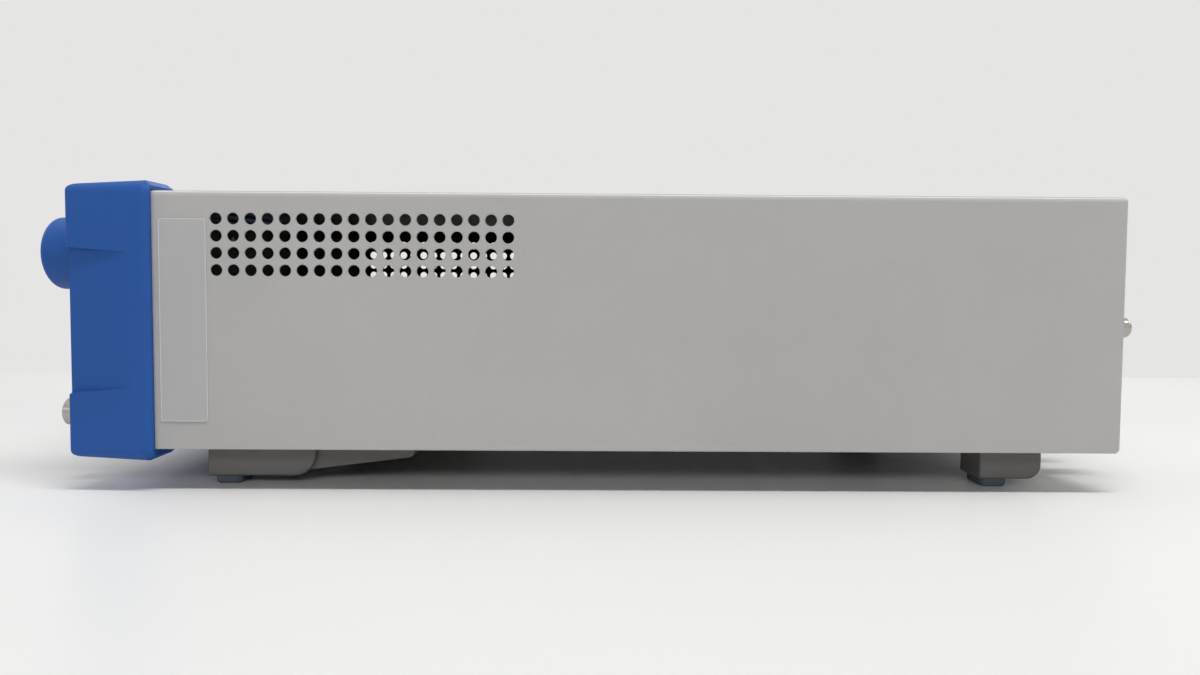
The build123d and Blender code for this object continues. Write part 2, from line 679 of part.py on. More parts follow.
def side_scoop():
    """The shallow hollow in the bezel's right side, deepest at the front and fading rearwards."""
    draft = math.tan(math.radians(BEZEL_DRAFT))
    front_x = HALF_W + BEZEL_PROUD - BEZEL_DEPTH * draft
    back_x = HALF_W + BEZEL_PROUD - (BEZEL_DEPTH - SCOOP_L) * draft
    slope = (back_x - front_x + SCOOP_DEPTH) / SCOOP_L
    beyond = SCOOP_EASE
    wedge = [
        (front_x - SCOOP_DEPTH - slope * beyond, FRONT - beyond),
        (back_x + slope * beyond, FRONT + SCOOP_L + beyond),
        (back_x + slope * beyond, FRONT - beyond),
    ]
    low = CASE_BOTTOM + SCOOP_EDGE
    high = CASE_TOP - SCOOP_EDGE
    sides = [
        (FRONT - beyond, low - SCOOP_CORNER - beyond),
        (FRONT + SCOOP_CORNER, low),
        (FRONT + SCOOP_L + beyond, low + SCOOP_EASE),
        (FRONT + SCOOP_L + beyond, high - SCOOP_EASE),
        (FRONT - beyond, high),
    ]
    return prism_z(wedge, CASE_BOTTOM, CASE_TOP) & prism_x(sides, 0, CASE_W)


def front_bezel():
    bezel = bezel_blank() - bumper_hollows() - both_sides(side_scoop())
    mouth_w = HALF_W + FIT
    mouth = block(-mouth_w, mouth_w, CASE_FRONT, BEZEL_REAR, CASE_BOTTOM - FIT, CASE_TOP + FIT)
    seat_w = PANEL_HALF_W + FIT
    seat_h = PANEL_HALF_H + FIT
    seat = block(-seat_w, seat_w, PANEL_FRONT, CASE_FRONT, CASE_MID - seat_h, CASE_MID + seat_h)
    w = 2 * OPEN_HALF_W
    h = OPEN_TOP - OPEN_BOTTOM
    opening = plate_y(w, h, BEZEL_OPENING_R, FRONT, PANEL_FRONT, 0, CASE_MID)
    bevel = BEZEL_OPENING_BEVEL
    flare = RectangleRounded(w + 2 * bevel, h + 2 * bevel, BEZEL_OPENING_R + bevel)
    flare = Pos(0, FRONT, CASE_MID) * Rot(-90, 0, 0) * extrude(flare, bevel, taper=45)
    return bezel - [mouth, seat, opening, flare]


# ---------------------------------------------------------------- front panel and its keys
def front_board_places():
    """Middles of the bosses that carry the front board, as (x, z)."""
    between = [SOFT_KEYPAD[0][0] + SOFT_PITCH / 2, SOFT_KEYPAD[-1][0] - SOFT_PITCH / 2]
    first_row = KEYPAD[0][1]
    last_row = KEYPAD[-1][1] - KEY_PITCH_Z
    beside_window = WINDOW_RIGHT + KEYPAD_GAP / 2
    beside_keys = KEYPAD[-1][0] + KEY_W / 2 + KEYPAD_GAP
    places = [(x, SOFT_KEY_Z) for x in between]
    return places + [(x, z) for x in (beside_window, beside_keys) for z in (first_row, last_row)]


def front_panel():
    panel = block(
        -PANEL_HALF_W, PANEL_HALF_W, PANEL_FRONT, PANEL_BACK,
        CASE_MID - PANEL_HALF_H, CASE_MID + PANEL_HALF_H,
    )
    for x, z in panel_boss_places():
        panel += rod_y(PANEL_BOSS_D / 2, PANEL_BACK, CASE_FRONT, x, z)
    for x, z in front_board_places():
        panel += rod_y(BOSS_D / 2, PANEL_BACK, FRONT_BOARD_Y, x, z)
    rabbet_w = WINDOW_W + 2 * FIT
    rabbet_h = WINDOW_H + 2 * FIT
    window_back = PANEL_FRONT + WINDOW_T
    cuts = [plate_y(rabbet_w, rabbet_h, WINDOW_R + FIT, PANEL_FRONT, window_back, WINDOW_X, WINDOW_Z)]
    sight_w = WINDOW_W - 2 * WINDOW_LEDGE
    sight_h = WINDOW_H - 2 * WINDOW_LEDGE
    cuts.append(plate_y(sight_w, sight_h, WINDOW_R, window_back, PANEL_BACK, WINDOW_X, WINDOW_Z))
    gap = 2 * KEY_GAP
    for _, x, z, w in KEYS:
        cuts.append(plate_y(w + gap, KEY_H + gap, KEY_R + KEY_GAP, PANEL_FRONT, PANEL_BACK, x, z))
    cuts.append(
        plate_y(POWER_W + gap, POWER_H + gap, KEY_R + KEY_GAP, PANEL_FRONT, PANEL_BACK, POWER_X, POWER_Z)
    )
    cuts.append(rod_y(BUSH_D / 2, PANEL_FRONT, PANEL_BACK, KNOB_X, KNOB_Z))
    cuts += [rod_y(JACK_D / 2, PANEL_FRONT, PANEL_BACK, x, z) for x, z in INPUTS]
    cuts += [rod_y(LED_D / 2, PANEL_FRONT, PANEL_BACK, x, z) for x, z in LAMPS]
    screw_back = CASE_FRONT + TRAY_T - SCREW_L
    cuts += [rod_y(SCREW_D / 2, screw_back, CASE_FRONT, x, z) for x, z in panel_boss_places()]
    pilot = FRONT_BOARD_Y + BOARD_T - SMALL_SCREW_L
    cuts += [rod_y(SMALL_SCREW_D / 2, pilot, FRONT_BOARD_Y, x, z) for x, z in front_board_places()]
    return panel - cuts


def display_window():
    window = plate_y(WINDOW_W, WINDOW_H, WINDOW_R, PANEL_FRONT, PANEL_FRONT + WINDOW_T, WINDOW_X, WINDOW_Z)
    return chamfer(window.faces().sort_by(Axis.Y)[0].edges(), WINDOW_EDGE)


def front_board():
    z0 = CASE_BOTTOM + FRONT_BOARD_RISE
    z1 = CASE_TOP - FRONT_BOARD_DROP
    w = PANEL_HALF_W - FRONT_BOARD_INSET
    board = block(-w, w, FRONT_BOARD_Y, FRONT_BOARD_Y + BOARD_T, z0, z1)
    return board - [
        rod_y(SMALL_SCREW_D / 2, FRONT_BOARD_Y, FRONT_BOARD_Y + BOARD_T, x, z)
        for x, z in front_board_places()
    ]


def digit_modules():
    """The seven-segment display blocks, side by side behind the window."""
    y0 = PANEL_FRONT + WINDOW_T + DIGIT_AIR
    z1 = WINDOW_Z + WINDOW_H / 2 - DIGIT_DROP
    row_w = WINDOW_W - 2 * WINDOW_LEDGE - 2 * DIGIT_MARGIN
    pitch = (row_w + DIGIT_MODULE_GAP) / DIGIT_MODULES
    first = WINDOW_X - pitch * (DIGIT_MODULES - 1) / 2
    half = (pitch - DIGIT_MODULE_GAP) / 2
    modules = []
    for i in range(DIGIT_MODULES):
        x = first + i * pitch
        module = block(x - half, x + half, y0, FRONT_BOARD_Y, z1 - DIGIT_MODULE_H, z1)
        modules.append(chamfer(module.faces().sort_by(Axis.Y)[0].edges(), DIGIT_EDGE))
    return modules


def key(x, z, w):
    """A key cap with the flange that keeps it in the panel and the stem that works its switch."""
    cap = plate_y(w, KEY_H, KEY_R, PANEL_FRONT - KEY_PROUD, PANEL_BACK, x, z)
    cap = fillet(cap.faces().sort_by(Axis.Y)[0].edges(), KEY_EDGE_R)
    flange_w = w + 2 * KEY_FLANGE
    flange_h = KEY_H + 2 * KEY_FLANGE
    flange_back = PANEL_BACK + KEY_FLANGE_T
    cap += plate_y(flange_w, flange_h, KEY_R, PANEL_BACK, flange_back, x, z)
    return cap + rod_y(STEM_R, flange_back, FRONT_BOARD_Y - SWITCH_H + STEM_ENGAGE, x, z)


def key_switches():
    """The push switches on the front board, one behind each key."""
    y0 = FRONT_BOARD_Y - SWITCH_H
    half = SWITCH_SIDE / 2
    depth = STEM_ENGAGE + KEY_TRAVEL + STEM_ROOM
    switches = []
    for _, x, z, _ in KEYS:
        body = block(x - half, x + half, y0, FRONT_BOARD_Y, z - half, z + half)
        body = chamfer(body.edges().filter_by(Axis.Y), SWITCH_EDGE)
        switches.append(body - rod_y(STEM_R + STEM_ROOM, y0, y0 + depth, x, z))
    return switches


def power_button():
    cap = plate_y(POWER_W, POWER_H, KEY_R, PANEL_FRONT - POWER_PROUD, PANEL_BACK, POWER_X, POWER_Z)
    cap = fillet(cap.faces().sort_by(Axis.Y)[0].edges(), KEY_EDGE_R)
    flange_w = POWER_W + 2 * KEY_FLANGE
    flange_h = POWER_H + 2 * KEY_FLANGE
    flange_back = PANEL_BACK + KEY_FLANGE_T
    cap += plate_y(flange_w, flange_h, KEY_R, PANEL_BACK, flange_back, POWER_X, POWER_Z)
    return cap + rod_y(POWER_ROD_R, flange_back, MAIN_FRONT + STEM_ENGAGE, POWER_X, POWER_Z)


def power_switch():
    half = POWER_SWITCH_W / 2
    back = MAIN_FRONT + POWER_SWITCH_L
    top = MAIN_TOP + POWER_SWITCH_H
    body = block(POWER_X - half, POWER_X + half, MAIN_FRONT, back, MAIN_TOP, top)
    body = chamfer(body.edges().filter_by(Axis.Y), SWITCH_EDGE)
    depth = STEM_ENGAGE + POWER_TRAVEL + STEM_ROOM
    return body - rod_y(POWER_ROD_R + STEM_ROOM, MAIN_FRONT, MAIN_FRONT + depth, POWER_X, POWER_Z)


# ---------------------------------------------------------------- dial
def dial_knob():
    back = PANEL_FRONT - KNOB_GAP
    front = back - KNOB_L
    knob = rod_y(KNOB_D / 2, front, back, KNOB_X, KNOB_Z)
    knob = fillet(knob.edges().filter_by(GeomType.CIRCLE).sort_by(Axis.Y)[0], KNOB_FRONT_R)
    inside = front + KNOB_FACE_T
    knob -= rod_y(KNOB_D / 2 - KNOB_WALL, inside, back, KNOB_X, KNOB_Z)
    hub_back = inside + SHAFT_IN_KNOB
    knob += rod_y(KNOB_HUB_D / 2, inside, hub_back, KNOB_X, KNOB_Z)
    knob -= rod_y(SHAFT_D / 2, inside, hub_back, KNOB_X, KNOB_Z)
    dimple_y = front + DIMPLE_DEPTH - DIMPLE_R
    return knob - Pos(KNOB_X, dimple_y, KNOB_Z + DIMPLE_OFFSET) * Sphere(DIMPLE_R)


def encoder_shaft():
    front = PANEL_FRONT - KNOB_GAP - KNOB_L + KNOB_FACE_T
    return rod_y(SHAFT_D / 2, front, FRONT_BOARD_Y - 2 * ENCODER_WALL, KNOB_X, KNOB_Z)


def encoder_body():
    half = ENCODER_SIDE / 2
    front = FRONT_BOARD_Y - ENCODER_H
    body = block(KNOB_X - half, KNOB_X + half, front, FRONT_BOARD_Y, KNOB_Z - half, KNOB_Z + half)
    body = chamfer(body.edges().filter_by(Axis.Y), ENCODER_EDGE)
    body += rod_y(BUSH_D / 2, PANEL_FRONT - BUSH_PROUD, front, KNOB_X, KNOB_Z)
    bore_back = FRONT_BOARD_Y - ENCODER_WALL
    return body - rod_y(SHAFT_D / 2 + RUN, PANEL_FRONT - BUSH_PROUD, bore_back, KNOB_X, KNOB_Z)


def encoder_nut():
    nut = hex_y(BUSH_NUT_FLATS, PANEL_FRONT - BUSH_NUT_T, PANEL_FRONT, KNOB_X, KNOB_Z)
    return nut - rod_y(BUSH_D / 2, PANEL_FRONT - BUSH_NUT_T, PANEL_FRONT, KNOB_X, KNOB_Z)


# ---------------------------------------------------------------- jacks and lamps
def jack_shell(panel_t):
    """A bayonet jack's turned shell; it faces -Y and its flange seats on the origin plane."""
    r = JACK_D / 2
    mouth = -JACK_REACH
    back = panel_t + JACK_TAIL
    barrel = rod_y(r, mouth, back, 0, 0)
    barrel = chamfer(barrel.edges().filter_by(GeomType.CIRCLE).sort_by(Axis.Y)[0], JACK_EDGE)
    shell = barrel + rod_y(JACK_FLANGE_D / 2, -JACK_FLANGE_T, 0, 0, 0)
    shell += rod_z(LUG_D / 2, -r - LUG_PROUD, r + LUG_PROUD, 0, mouth + LUG_SETBACK)
    shell -= rod_y(JACK_BORE_D / 2, mouth, mouth + JACK_BORE_L, 0, 0)
    return shell - rod_y(JACK_SLEEVE_D / 2, mouth, back, 0, 0)


def jack_insulator(panel_t):
    floor = -JACK_REACH + JACK_BORE_L
    back = panel_t + JACK_TAIL
    sleeve = rod_y(JACK_SLEEVE_D / 2, -JACK_REACH + JACK_SLEEVE_SHORT, back, 0, 0)
    sleeve += rod_y(JACK_BORE_D / 2, floor - JACK_BASE_T, floor, 0, 0)
    return sleeve - rod_y(PIN_D / 2, -JACK_REACH, back, 0, 0)


def jack_contact(panel_t, board_y):
    """The middle contact, with the tail that lies on its board."""
    mouth = -JACK_REACH + JACK_SLEEVE_SHORT + PIN_SHORT
    back = panel_t + JACK_TAIL
    pin = rod_y(PIN_D / 2, mouth, back, 0, 0)
    pin -= rod_y(PIN_BORE_D / 2, mouth, mouth + PIN_BORE_L, 0, 0)
    return pin + rod_y(PIN_TAIL_D / 2, back, board_y + PIN_ON_BOARD, 0, 0)


def jack_nut(panel_t):
    nut = hex_y(NUT_FLATS, panel_t, panel_t + NUT_T, 0, 0)
    return nut - rod_y(JACK_D / 2, panel_t, panel_t + NUT_T, 0, 0)


def placed_jacks(front_piece, rear_piece):
    """One piece of a jack at every jack's place: the inputs in front and the references behind."""
    fronts = [Pos(x, PANEL_FRONT, z) * front_piece for x, z in INPUTS]
    rears = [Pos(x, REAR_FACE, z) * Rot(0, 0, 180) * rear_piece for x, z in REFERENCES]
    return fronts + rears


def jack_contacts():
    front = jack_contact(PANEL_T, MAIN_FRONT - PANEL_FRONT)
    rear = jack_contact(REAR_T, REAR_T + MAIN_REAR_GAP)
    return placed_jacks(front, rear)


def input_lamps():
    lamps = []
    for x, z in LAMPS:
        lamp = rod_y(LED_D / 2, PANEL_FRONT - LED_PROUD, FRONT_BOARD_Y, x, z)
        lamp = fillet(lamp.edges().filter_by(GeomType.CIRCLE).sort_by(Axis.Y)[0], LED_DOME_R)
        lamps.append(lamp)
    return lamps


# ---------------------------------------------------------------- boards
def supply_edges():
    """The supply board's left, right, front and rear edges."""
    x0 = -MAIN_HALF_W
    y0 = MAIN_FRONT + MAIN_FULL_L + SUPPLY_GAP
    return x0, x0 + SUPPLY_W, y0, REAR_INNER - MAIN_REAR_GAP - INLET_BODY_L


def main_standoff_places():
    x = MAIN_HALF_W - BOARD_MARGIN
    front = MAIN_FRONT + STANDOFF_BACK
    back = MAIN_FRONT + MAIN_FULL_L - BOARD_MARGIN
    rear = REAR_INNER - MAIN_REAR_GAP - BOARD_MARGIN
    notch = -MAIN_HALF_W + SUPPLY_W + SUPPLY_GAP + BOARD_MARGIN
    return [(-x, front), (x, front), (-x, back), (x, back), (x, rear), (notch, rear)]


def supply_standoff_places():
    x0, x1, y0, y1 = supply_edges()
    m = BOARD_MARGIN
    return [(x, y) for x in (x0 + m, x1 - m) for y in (y0 + m, y1 - m)]


def board_drills(places):
    return [rod_z(SMALL_SCREW_D / 2, MAIN_BOTTOM, MAIN_TOP, x, y) for x, y in places]


def main_board():
    w = MAIN_HALF_W
    notch = -w + SUPPLY_W + SUPPLY_GAP
    full = MAIN_FRONT + MAIN_FULL_L
    board = block(-w, w, MAIN_FRONT, full, MAIN_BOTTOM, MAIN_TOP)
    board += block(notch, w, full, REAR_INNER - MAIN_REAR_GAP, MAIN_BOTTOM, MAIN_TOP)
    return board - board_drills(main_standoff_places())


def supply_board():
    x0, x1, y0, y1 = supply_edges()
    board = block(x0, x1, y0, y1, MAIN_BOTTOM, MAIN_TOP)
    return board - board_drills(supply_standoff_places())


def board_standoffs():
    posts = []
    for x, y in main_standoff_places() + supply_standoff_places():
        post = extrude(RegularPolygon(STANDOFF_FLATS / math.sqrt(3), 6), MAIN_BOTTOM - TRAY_FLOOR)
        post = Pos(x, y, TRAY_FLOOR) * post
        pilot = MAIN_TOP - SMALL_SCREW_L
        posts.append(post - rod_z(SMALL_SCREW_D / 2, pilot, MAIN_BOTTOM, x, y))
    return posts


def input_shield():
    """The folded can over the input amplifiers, open underneath."""
    x1 = HALF_W - CAN_INSET
    x0 = x1 - CAN_W
    y0 = MAIN_FRONT + CAN_BACK
    y1 = y0 + CAN_L
    z1 = MAIN_TOP + CAN_H
    can = block(x0, x1, y0, y1, MAIN_TOP, z1)
    can = fillet(can.edges().filter_by(Axis.Z), CAN_R)
    t = CAN_T
    return can - block(x0 + t, x1 - t, y0 + t, y1 - t, MAIN_TOP, z1 - t)


def reference_oven():
    """The reference crystal's heated can."""
    x0 = WINDOW_X - OVEN_W / 2
    y0 = MAIN_FRONT + MAIN_FULL_L / 2
    can = block(x0, x0 + OVEN_W, y0, y0 + OVEN_L, MAIN_TOP, MAIN_TOP + OVEN_H)
    return fillet(can.edges().filter_by(Axis.Z) + can.edges().group_by(Axis.Z)[-1], OVEN_R)


def board_chips():
    """The counting chip and the rows of smaller chips on the main board."""
    y = MAIN_FRONT + MAIN_FULL_L / 2
    half = CHIP_SIDE / 2
    front = y - CHIP_GAP - CHIP_SIDE
    chips = [block(-half, half, front, front + CHIP_SIDE, MAIN_TOP, MAIN_TOP + CHIP_T)]
    for row in range(SMALL_CHIP_ROWS):
        for column in range(SMALL_CHIP_COLUMNS):
            x1 = HALF_W - CAN_INSET - column * (SMALL_CHIP_W + SMALL_CHIP_SPACE_X)
            y0 = y + row * (SMALL_CHIP_L + SMALL_CHIP_SPACE_Y)
            y1 = y0 + SMALL_CHIP_L
            chips.append(block(x1 - SMALL_CHIP_W, x1, y0, y1, MAIN_TOP, MAIN_TOP + CHIP_T))
    return chips


def transformer_middle():
    x0, _, y0, y1 = supply_edges()
    return x0 + CORE_INSET + CORE_W / 2, (y0 + y1) / 2


def transformer_core():
    """The stacked core, with a window on each side of its middle limb."""
    x, y = transformer_middle()
    half_l = CORE_L / 2
    core = block(x - CORE_W / 2, x + CORE_W / 2, y - half_l, y + half_l, MAIN_TOP, MAIN_TOP + CORE_H)
    z0 = MAIN_TOP + (CORE_H - COIL_H) / 2
    limb = CORE_LIMB / 2
    window = block(x + limb, x + COIL_W / 2, y - half_l, y + half_l, z0, z0 + COIL_H)
    other = block(x - COIL_W / 2, x - limb, y - half_l, y + half_l, z0, z0 + COIL_H)
    return core - [window, other]


def transformer_coil():
    x, y = transformer_middle()
    half_l = CORE_L / 2
    reach = half_l + COIL_PROUD
    z0 = MAIN_TOP + (CORE_H - COIL_H) / 2
    coil = block(x - COIL_W / 2, x + COIL_W / 2, y - reach, y + reach, z0, z0 + COIL_H)
    coil = fillet(coil.edges().filter_by(Axis.Z), COIL_R)
    limb = CORE_LIMB / 2
    return coil - block(x - limb, x + limb, y - half_l, y + half_l, z0, z0 + COIL_H)


def supply_capacitors():
    x0, x1, y0, y1 = supply_edges()
    x = x1 - BOARD_MARGIN - CAPACITOR_D
    pitch = (y1 - y0) / CAPACITORS
    cans = []
    for i in range(CAPACITORS):
        can = rod_z(CAPACITOR_D / 2, MAIN_TOP, MAIN_TOP + CAPACITOR_H, x, y0 + (i + 0.5) * pitch)
        cans.append(fillet(can.edges().filter_by(GeomType.CIRCLE), CAPACITOR_R))
    return cans


def ribbon_blank(y0, y1, z1, r):
    """The space under one face of the flat cable."""
    half = RIBBON_W / 2
    blank = block(RIBBON_X - half, RIBBON_X + half, y0, y1, MAIN_TOP, z1)
    corner = blank.edges().filter_by(Axis.X).group_by(Axis.Z)[-1].sort_by(Axis.Y)[-1]
    return fillet(corner, r)


def ribbon_cable():
    """The flat cable that runs back from the front board and down to the main board."""
    y0 = FRONT_BOARD_Y + BOARD_T
    y1 = y0 + RIBBON_BACK
    z1 = CASE_BOTTOM + FRONT_BOARD_RISE + RIBBON_DROP
    outer = ribbon_blank(y0, y1, z1, RIBBON_R)
    return outer - ribbon_blank(y0, y1 - RIBBON_T, z1 - RIBBON_T, RIBBON_R - RIBBON_T)


# ---------------------------------------------------------------- rear fittings
def drawer_edges():
    """The fuse drawer's underside, top and inner end."""
    z0 = INLET_Z - INLET_BODY_H / 2 + DRAWER_FLOOR
    return z0, z0 + DRAWER_H, REAR_FACE + INLET_FLANGE_T - DRAWER_L


def mains_inlet():
    face = REAR_FACE + INLET_FLANGE_T
    flange = plate_y(INLET_FLANGE_W, INLET_FLANGE_H, INLET_FLANGE_R, REAR_FACE, face, INLET_X, INLET_Z)
    flange = fillet(flange.faces().sort_by(Axis.Y)[-1].edges(), INLET_EDGE_R)
    half = INLET_BODY_W / 2
    z0 = INLET_Z - INLET_BODY_H / 2
    z1 = INLET_Z + INLET_BODY_H / 2
    inlet = flange + block(INLET_X - half, INLET_X + half, REAR_FACE - INLET_BODY_L, REAR_FACE, z0, z1)
    socket_z = z1 - SOCKET_TOP - SOCKET_H / 2
    socket = plate_y(SOCKET_W, SOCKET_H, SOCKET_R, face - SOCKET_L, face, INLET_X, socket_z)
    low, high, end = drawer_edges()
    room = DRAWER_W / 2 + FIT
    cavity = block(INLET_X - room, INLET_X + room, end - FIT, face, low - FIT, high + FIT)
    return inlet - [socket, cavity] - inlet_blades()


def inlet_blades():
    """The three contact blades, with the tails that come out of the inlet's back."""
    face = REAR_FACE + INLET_FLANGE_T
    floor = face - SOCKET_L
    middle = INLET_Z + INLET_BODY_H / 2 - SOCKET_TOP - SOCKET_H / 2
    low = middle - BLADE_STEP
    back = REAR_FACE - INLET_BODY_L - BLADE_TAIL
    front = floor + BLADE_OUT
    half_h = BLADE_H / 2
    blades = []
    for offset, z in ((-BLADE_SPREAD, low), (0, middle + BLADE_STEP), (BLADE_SPREAD, low)):
        x = INLET_X + offset
        blade = block(x - BLADE_W / 2, x + BLADE_W / 2, back, front, z - half_h, z + half_h)
        blades.append(chamfer(blade.faces().sort_by(Axis.Y)[-1].edges(), BLADE_EDGE))
    return blades


def fuse_drawer():
    low, high, end = drawer_edges()
    face = REAR_FACE + INLET_FLANGE_T
    half = DRAWER_W / 2
    drawer = block(INLET_X - half, INLET_X + half, end, face, low, high)
    middle = (low + high) / 2
    lip_w = DRAWER_W + 2 * DRAWER_LIP_SIDE
    lip_h = DRAWER_H + 2 * DRAWER_LIP_RISE
    lip = plate_y(lip_w, lip_h, DRAWER_LIP_R, face, face + DRAWER_LIP, INLET_X, middle)
    drawer += fillet(lip.faces().sort_by(Axis.Y)[-1].edges(), DRAWER_EDGE_R)
    room = half - DRAWER_WALL
    y0 = end + DRAWER_WALL
    y1 = face - DRAWER_FACE_T
    return drawer - block(INLET_X - room, INLET_X + room, y0, y1, low + DRAWER_BASE_T, high)


def data_socket(x, w, h, length):
    """A metal socket shell on the main board that comes through the rear panel."""
    back = REAR_FACE + SOCKET_PROUD
    shell = block(x - w / 2, x + w / 2, back - length, back, MAIN_TOP, MAIN_TOP + h)
    return chamfer(shell.edges().filter_by(Axis.Y), SHELL_EDGE)


def lan_socket():
    back = REAR_FACE + SOCKET_PROUD
    z = MAIN_TOP + LAN_H / 2
    half_w = LAN_MOUTH_W / 2
    half_h = LAN_MOUTH_H / 2
    mouth = block(LAN_X - half_w, LAN_X + half_w, back - LAN_MOUTH_L, back, z - half_h, z + half_h)
    notch_w = LAN_NOTCH_W / 2
    top = z + half_h + LAN_NOTCH_H
    notch = block(LAN_X - notch_w, LAN_X + notch_w, back - LAN_MOUTH_L, back, z + half_h, top)
    return data_socket(LAN_X, LAN_W, LAN_H, LAN_L) - [mouth, notch]


def usb_socket():
    back = REAR_FACE + SOCKET_PROUD
    z = MAIN_TOP + USB_H / 2
    half = USB_MOUTH / 2
    inner = back - USB_MOUTH_L
    mouth = block(USB_X - half, USB_X + half, inner, back, z - half, z + half)
    t = USB_TONGUE / 2
    w = USB_TONGUE_W / 2
    tongue = block(USB_X - w, USB_X + w, inner, back - USB_TONGUE_SHORT, z - t, z + t)
    return data_socket(USB_X, USB_W, USB_H, USB_L) - mouth + tongue


def earth_terminal():
    """The earth terminal: a turned stud with a collar, a hexagon and a slotted domed head."""
    y1 = REAR_FACE + EARTH_COLLAR_T
    y2 = y1 + EARTH_NUT_T
    y3 = y2 + EARTH_CAP_L
    head = rod_y(EARTH_CAP_D / 2, y2, y3, EARTH_X, EARTH_Z)
    head = fillet(head.edges().filter_by(GeomType.CIRCLE).sort_by(Axis.Y)[-1], EARTH_CAP_R)
    slot = EARTH_SLOT_W / 2
    r = EARTH_CAP_D / 2
    head -= block(EARTH_X - slot, EARTH_X + slot, y3 - EARTH_SLOT_DEPTH, y3, EARTH_Z - r, EARTH_Z + r)
    collar = rod_y(EARTH_COLLAR_D / 2, REAR_FACE, y1, EARTH_X, EARTH_Z)
    hexagon = hex_y(EARTH_NUT_FLATS, y1, y2, EARTH_X, EARTH_Z)
    stud = rod_y(EARTH_STUD_D / 2, REAR_INNER - EARTH_TAIL, REAR_FACE, EARTH_X, EARTH_Z)
    return head + collar + hexagon + stud


def earth_nut():
    y0 = REAR_INNER - EARTH_NUT_T
    nut = hex_y(EARTH_NUT_FLATS, y0, REAR_INNER, EARTH_X, EARTH_Z)
    return nut - rod_y(EARTH_STUD_D / 2, y0, REAR_INNER, EARTH_X, EARTH_Z)


# ---------------------------------------------------------------- feet
def foot_blank(y0, length, rear_r):
    """A right-hand foot without its details, its top against the case."""
    x0 = FOOT_X - FOOT_W / 2
    x1 = FOOT_X + FOOT_W / 2
    foot = block(x0, x1, y0, y0 + length, PAD_H, CASE_BOTTOM)
    lower = foot.edges().filter_by(Axis.X).group_by(Axis.Z)[0]
    foot = fillet(lower.sort_by(Axis.Y)[-1], rear_r)
    return fillet(foot.edges().filter_by(Axis.Z), FOOT_EDGE_R)


def foot_drills(y0):
    first = y0 + FOOT_SCREW_SETBACK
    bottom = TRAY_FLOOR - SCREW_L
    return [
        rod_z(SCREW_D / 2, bottom, CASE_BOTTOM, FOOT_X, first + i * FOOT_SCREW_PITCH) for i in (0, 1)
    ]


def leg_root_r():
    return LEG_ROOT_DROP - HINGE_DROP


def front_foot():
    """The right front foot, forked at its rear for the tilt leg."""
    foot = foot_blank(FRONT_FOOT_Y, FRONT_FOOT_L, HINGE_ROUND_R)
    slot = FOOT_W / 2 - LEG_CHEEK
    room = leg_root_r() + LEG_GAP
    end = FRONT_FOOT_Y + FRONT_FOOT_L
    foot -= block(FOOT_X - slot, FOOT_X + slot, HINGE_Y - room, end, PAD_H, CASE_BOTTOM)
    hole = slot + LEG_PIN_L + LEG_PIN_ROOM
    foot -= rod_x(LEG_PIN_D / 2 + RUN, FOOT_X - hole, FOOT_X + hole, HINGE_Y, HINGE_Z)
    return foot - foot_drills(FRONT_FOOT_Y)


def rear_foot():
    return foot_blank(REAR_FOOT_Y, REAR_FOOT_L, REAR_FOOT_R) - foot_drills(REAR_FOOT_Y)


def foot_pad(y0):
    """A right-hand pad, its edges broken, under a foot."""
    x1 = FOOT_X + FOOT_W / 2 - PAD_INSET
    pad = block(x1 - PAD_W, x1, y0, y0 + PAD_L, 0, PAD_H)
    pad = chamfer(pad.edges().filter_by(Axis.Z), PAD_CORNER)
    return chamfer(pad.faces().sort_by(Axis.Z)[0].edges(), PAD_EDGE)


def foot_pads():
    front = foot_pad(FRONT_FOOT_Y + FRONT_PAD_SETBACK)
    rear = foot_pad(REAR_FOOT_Y + REAR_PAD_SETBACK)
    return both_sides(front) + both_sides(rear)


def tilt_leg():
    """The right tilt leg, folded back under the case, with the pins that it turns on."""
    root_r = leg_root_r()
    top = CASE_BOTTOM - LEG_TOP_GAP
    eye_r = top - HINGE_Z
    tip_y = HINGE_Y + LEG_REACH
    tip_z = CASE_BOTTOM - LEG_TIP_DROP
    half = FOOT_W / 2 - LEG_CHEEK - LEG_GAP
    x0 = FOOT_X - half
    x1 = FOOT_X + half
    arm = prism_x([(HINGE_Y, HINGE_Z - root_r), (tip_y, tip_z), (tip_y, top), (HINGE_Y, top)], x0, x1)
    tip = arm.edges().filter_by(Axis.X).group_by(Axis.Y)[-1]
    arm = fillet(tip, LEG_TIP_R)
    arm += rod_x(eye_r, x0, x1, HINGE_Y, HINGE_Z)
    reach = half + LEG_GAP + LEG_PIN_L
    return arm + rod_x(LEG_PIN_D / 2, FOOT_X - reach, FOOT_X + reach, HINGE_Y, HINGE_Z)


# ---------------------------------------------------------------- screws
def case_screws():
    """The M3 screws of the cover, rear panel, front panel and feet."""
    screws = [screw_at(x, REAR, z, "rear") for x, z in cover_screw_places()]
    screws += [screw_at(x, REAR_FACE, z, "rear") for x, z in rear_screw_places()]
    screws += [screw_at(x, CASE_FRONT + TRAY_T, z, "rear") for x, z in panel_boss_places()]
    return screws + [screw_at(x, y, TRAY_FLOOR, "up") for x, y in foot_screw_places()]


def board_screws():
    small = (SMALL_SCREW_D, SMALL_SCREW_L, SMALL_HEAD_D, SMALL_HEAD_H)
    back = FRONT_BOARD_Y + BOARD_T
    screws = [screw_at(x, back, z, "rear", *small) for x, z in front_board_places()]
    places = main_standoff_places() + supply_standoff_places()
    return screws + [screw_at(x, y, MAIN_TOP, "up", *small) for x, y in places]


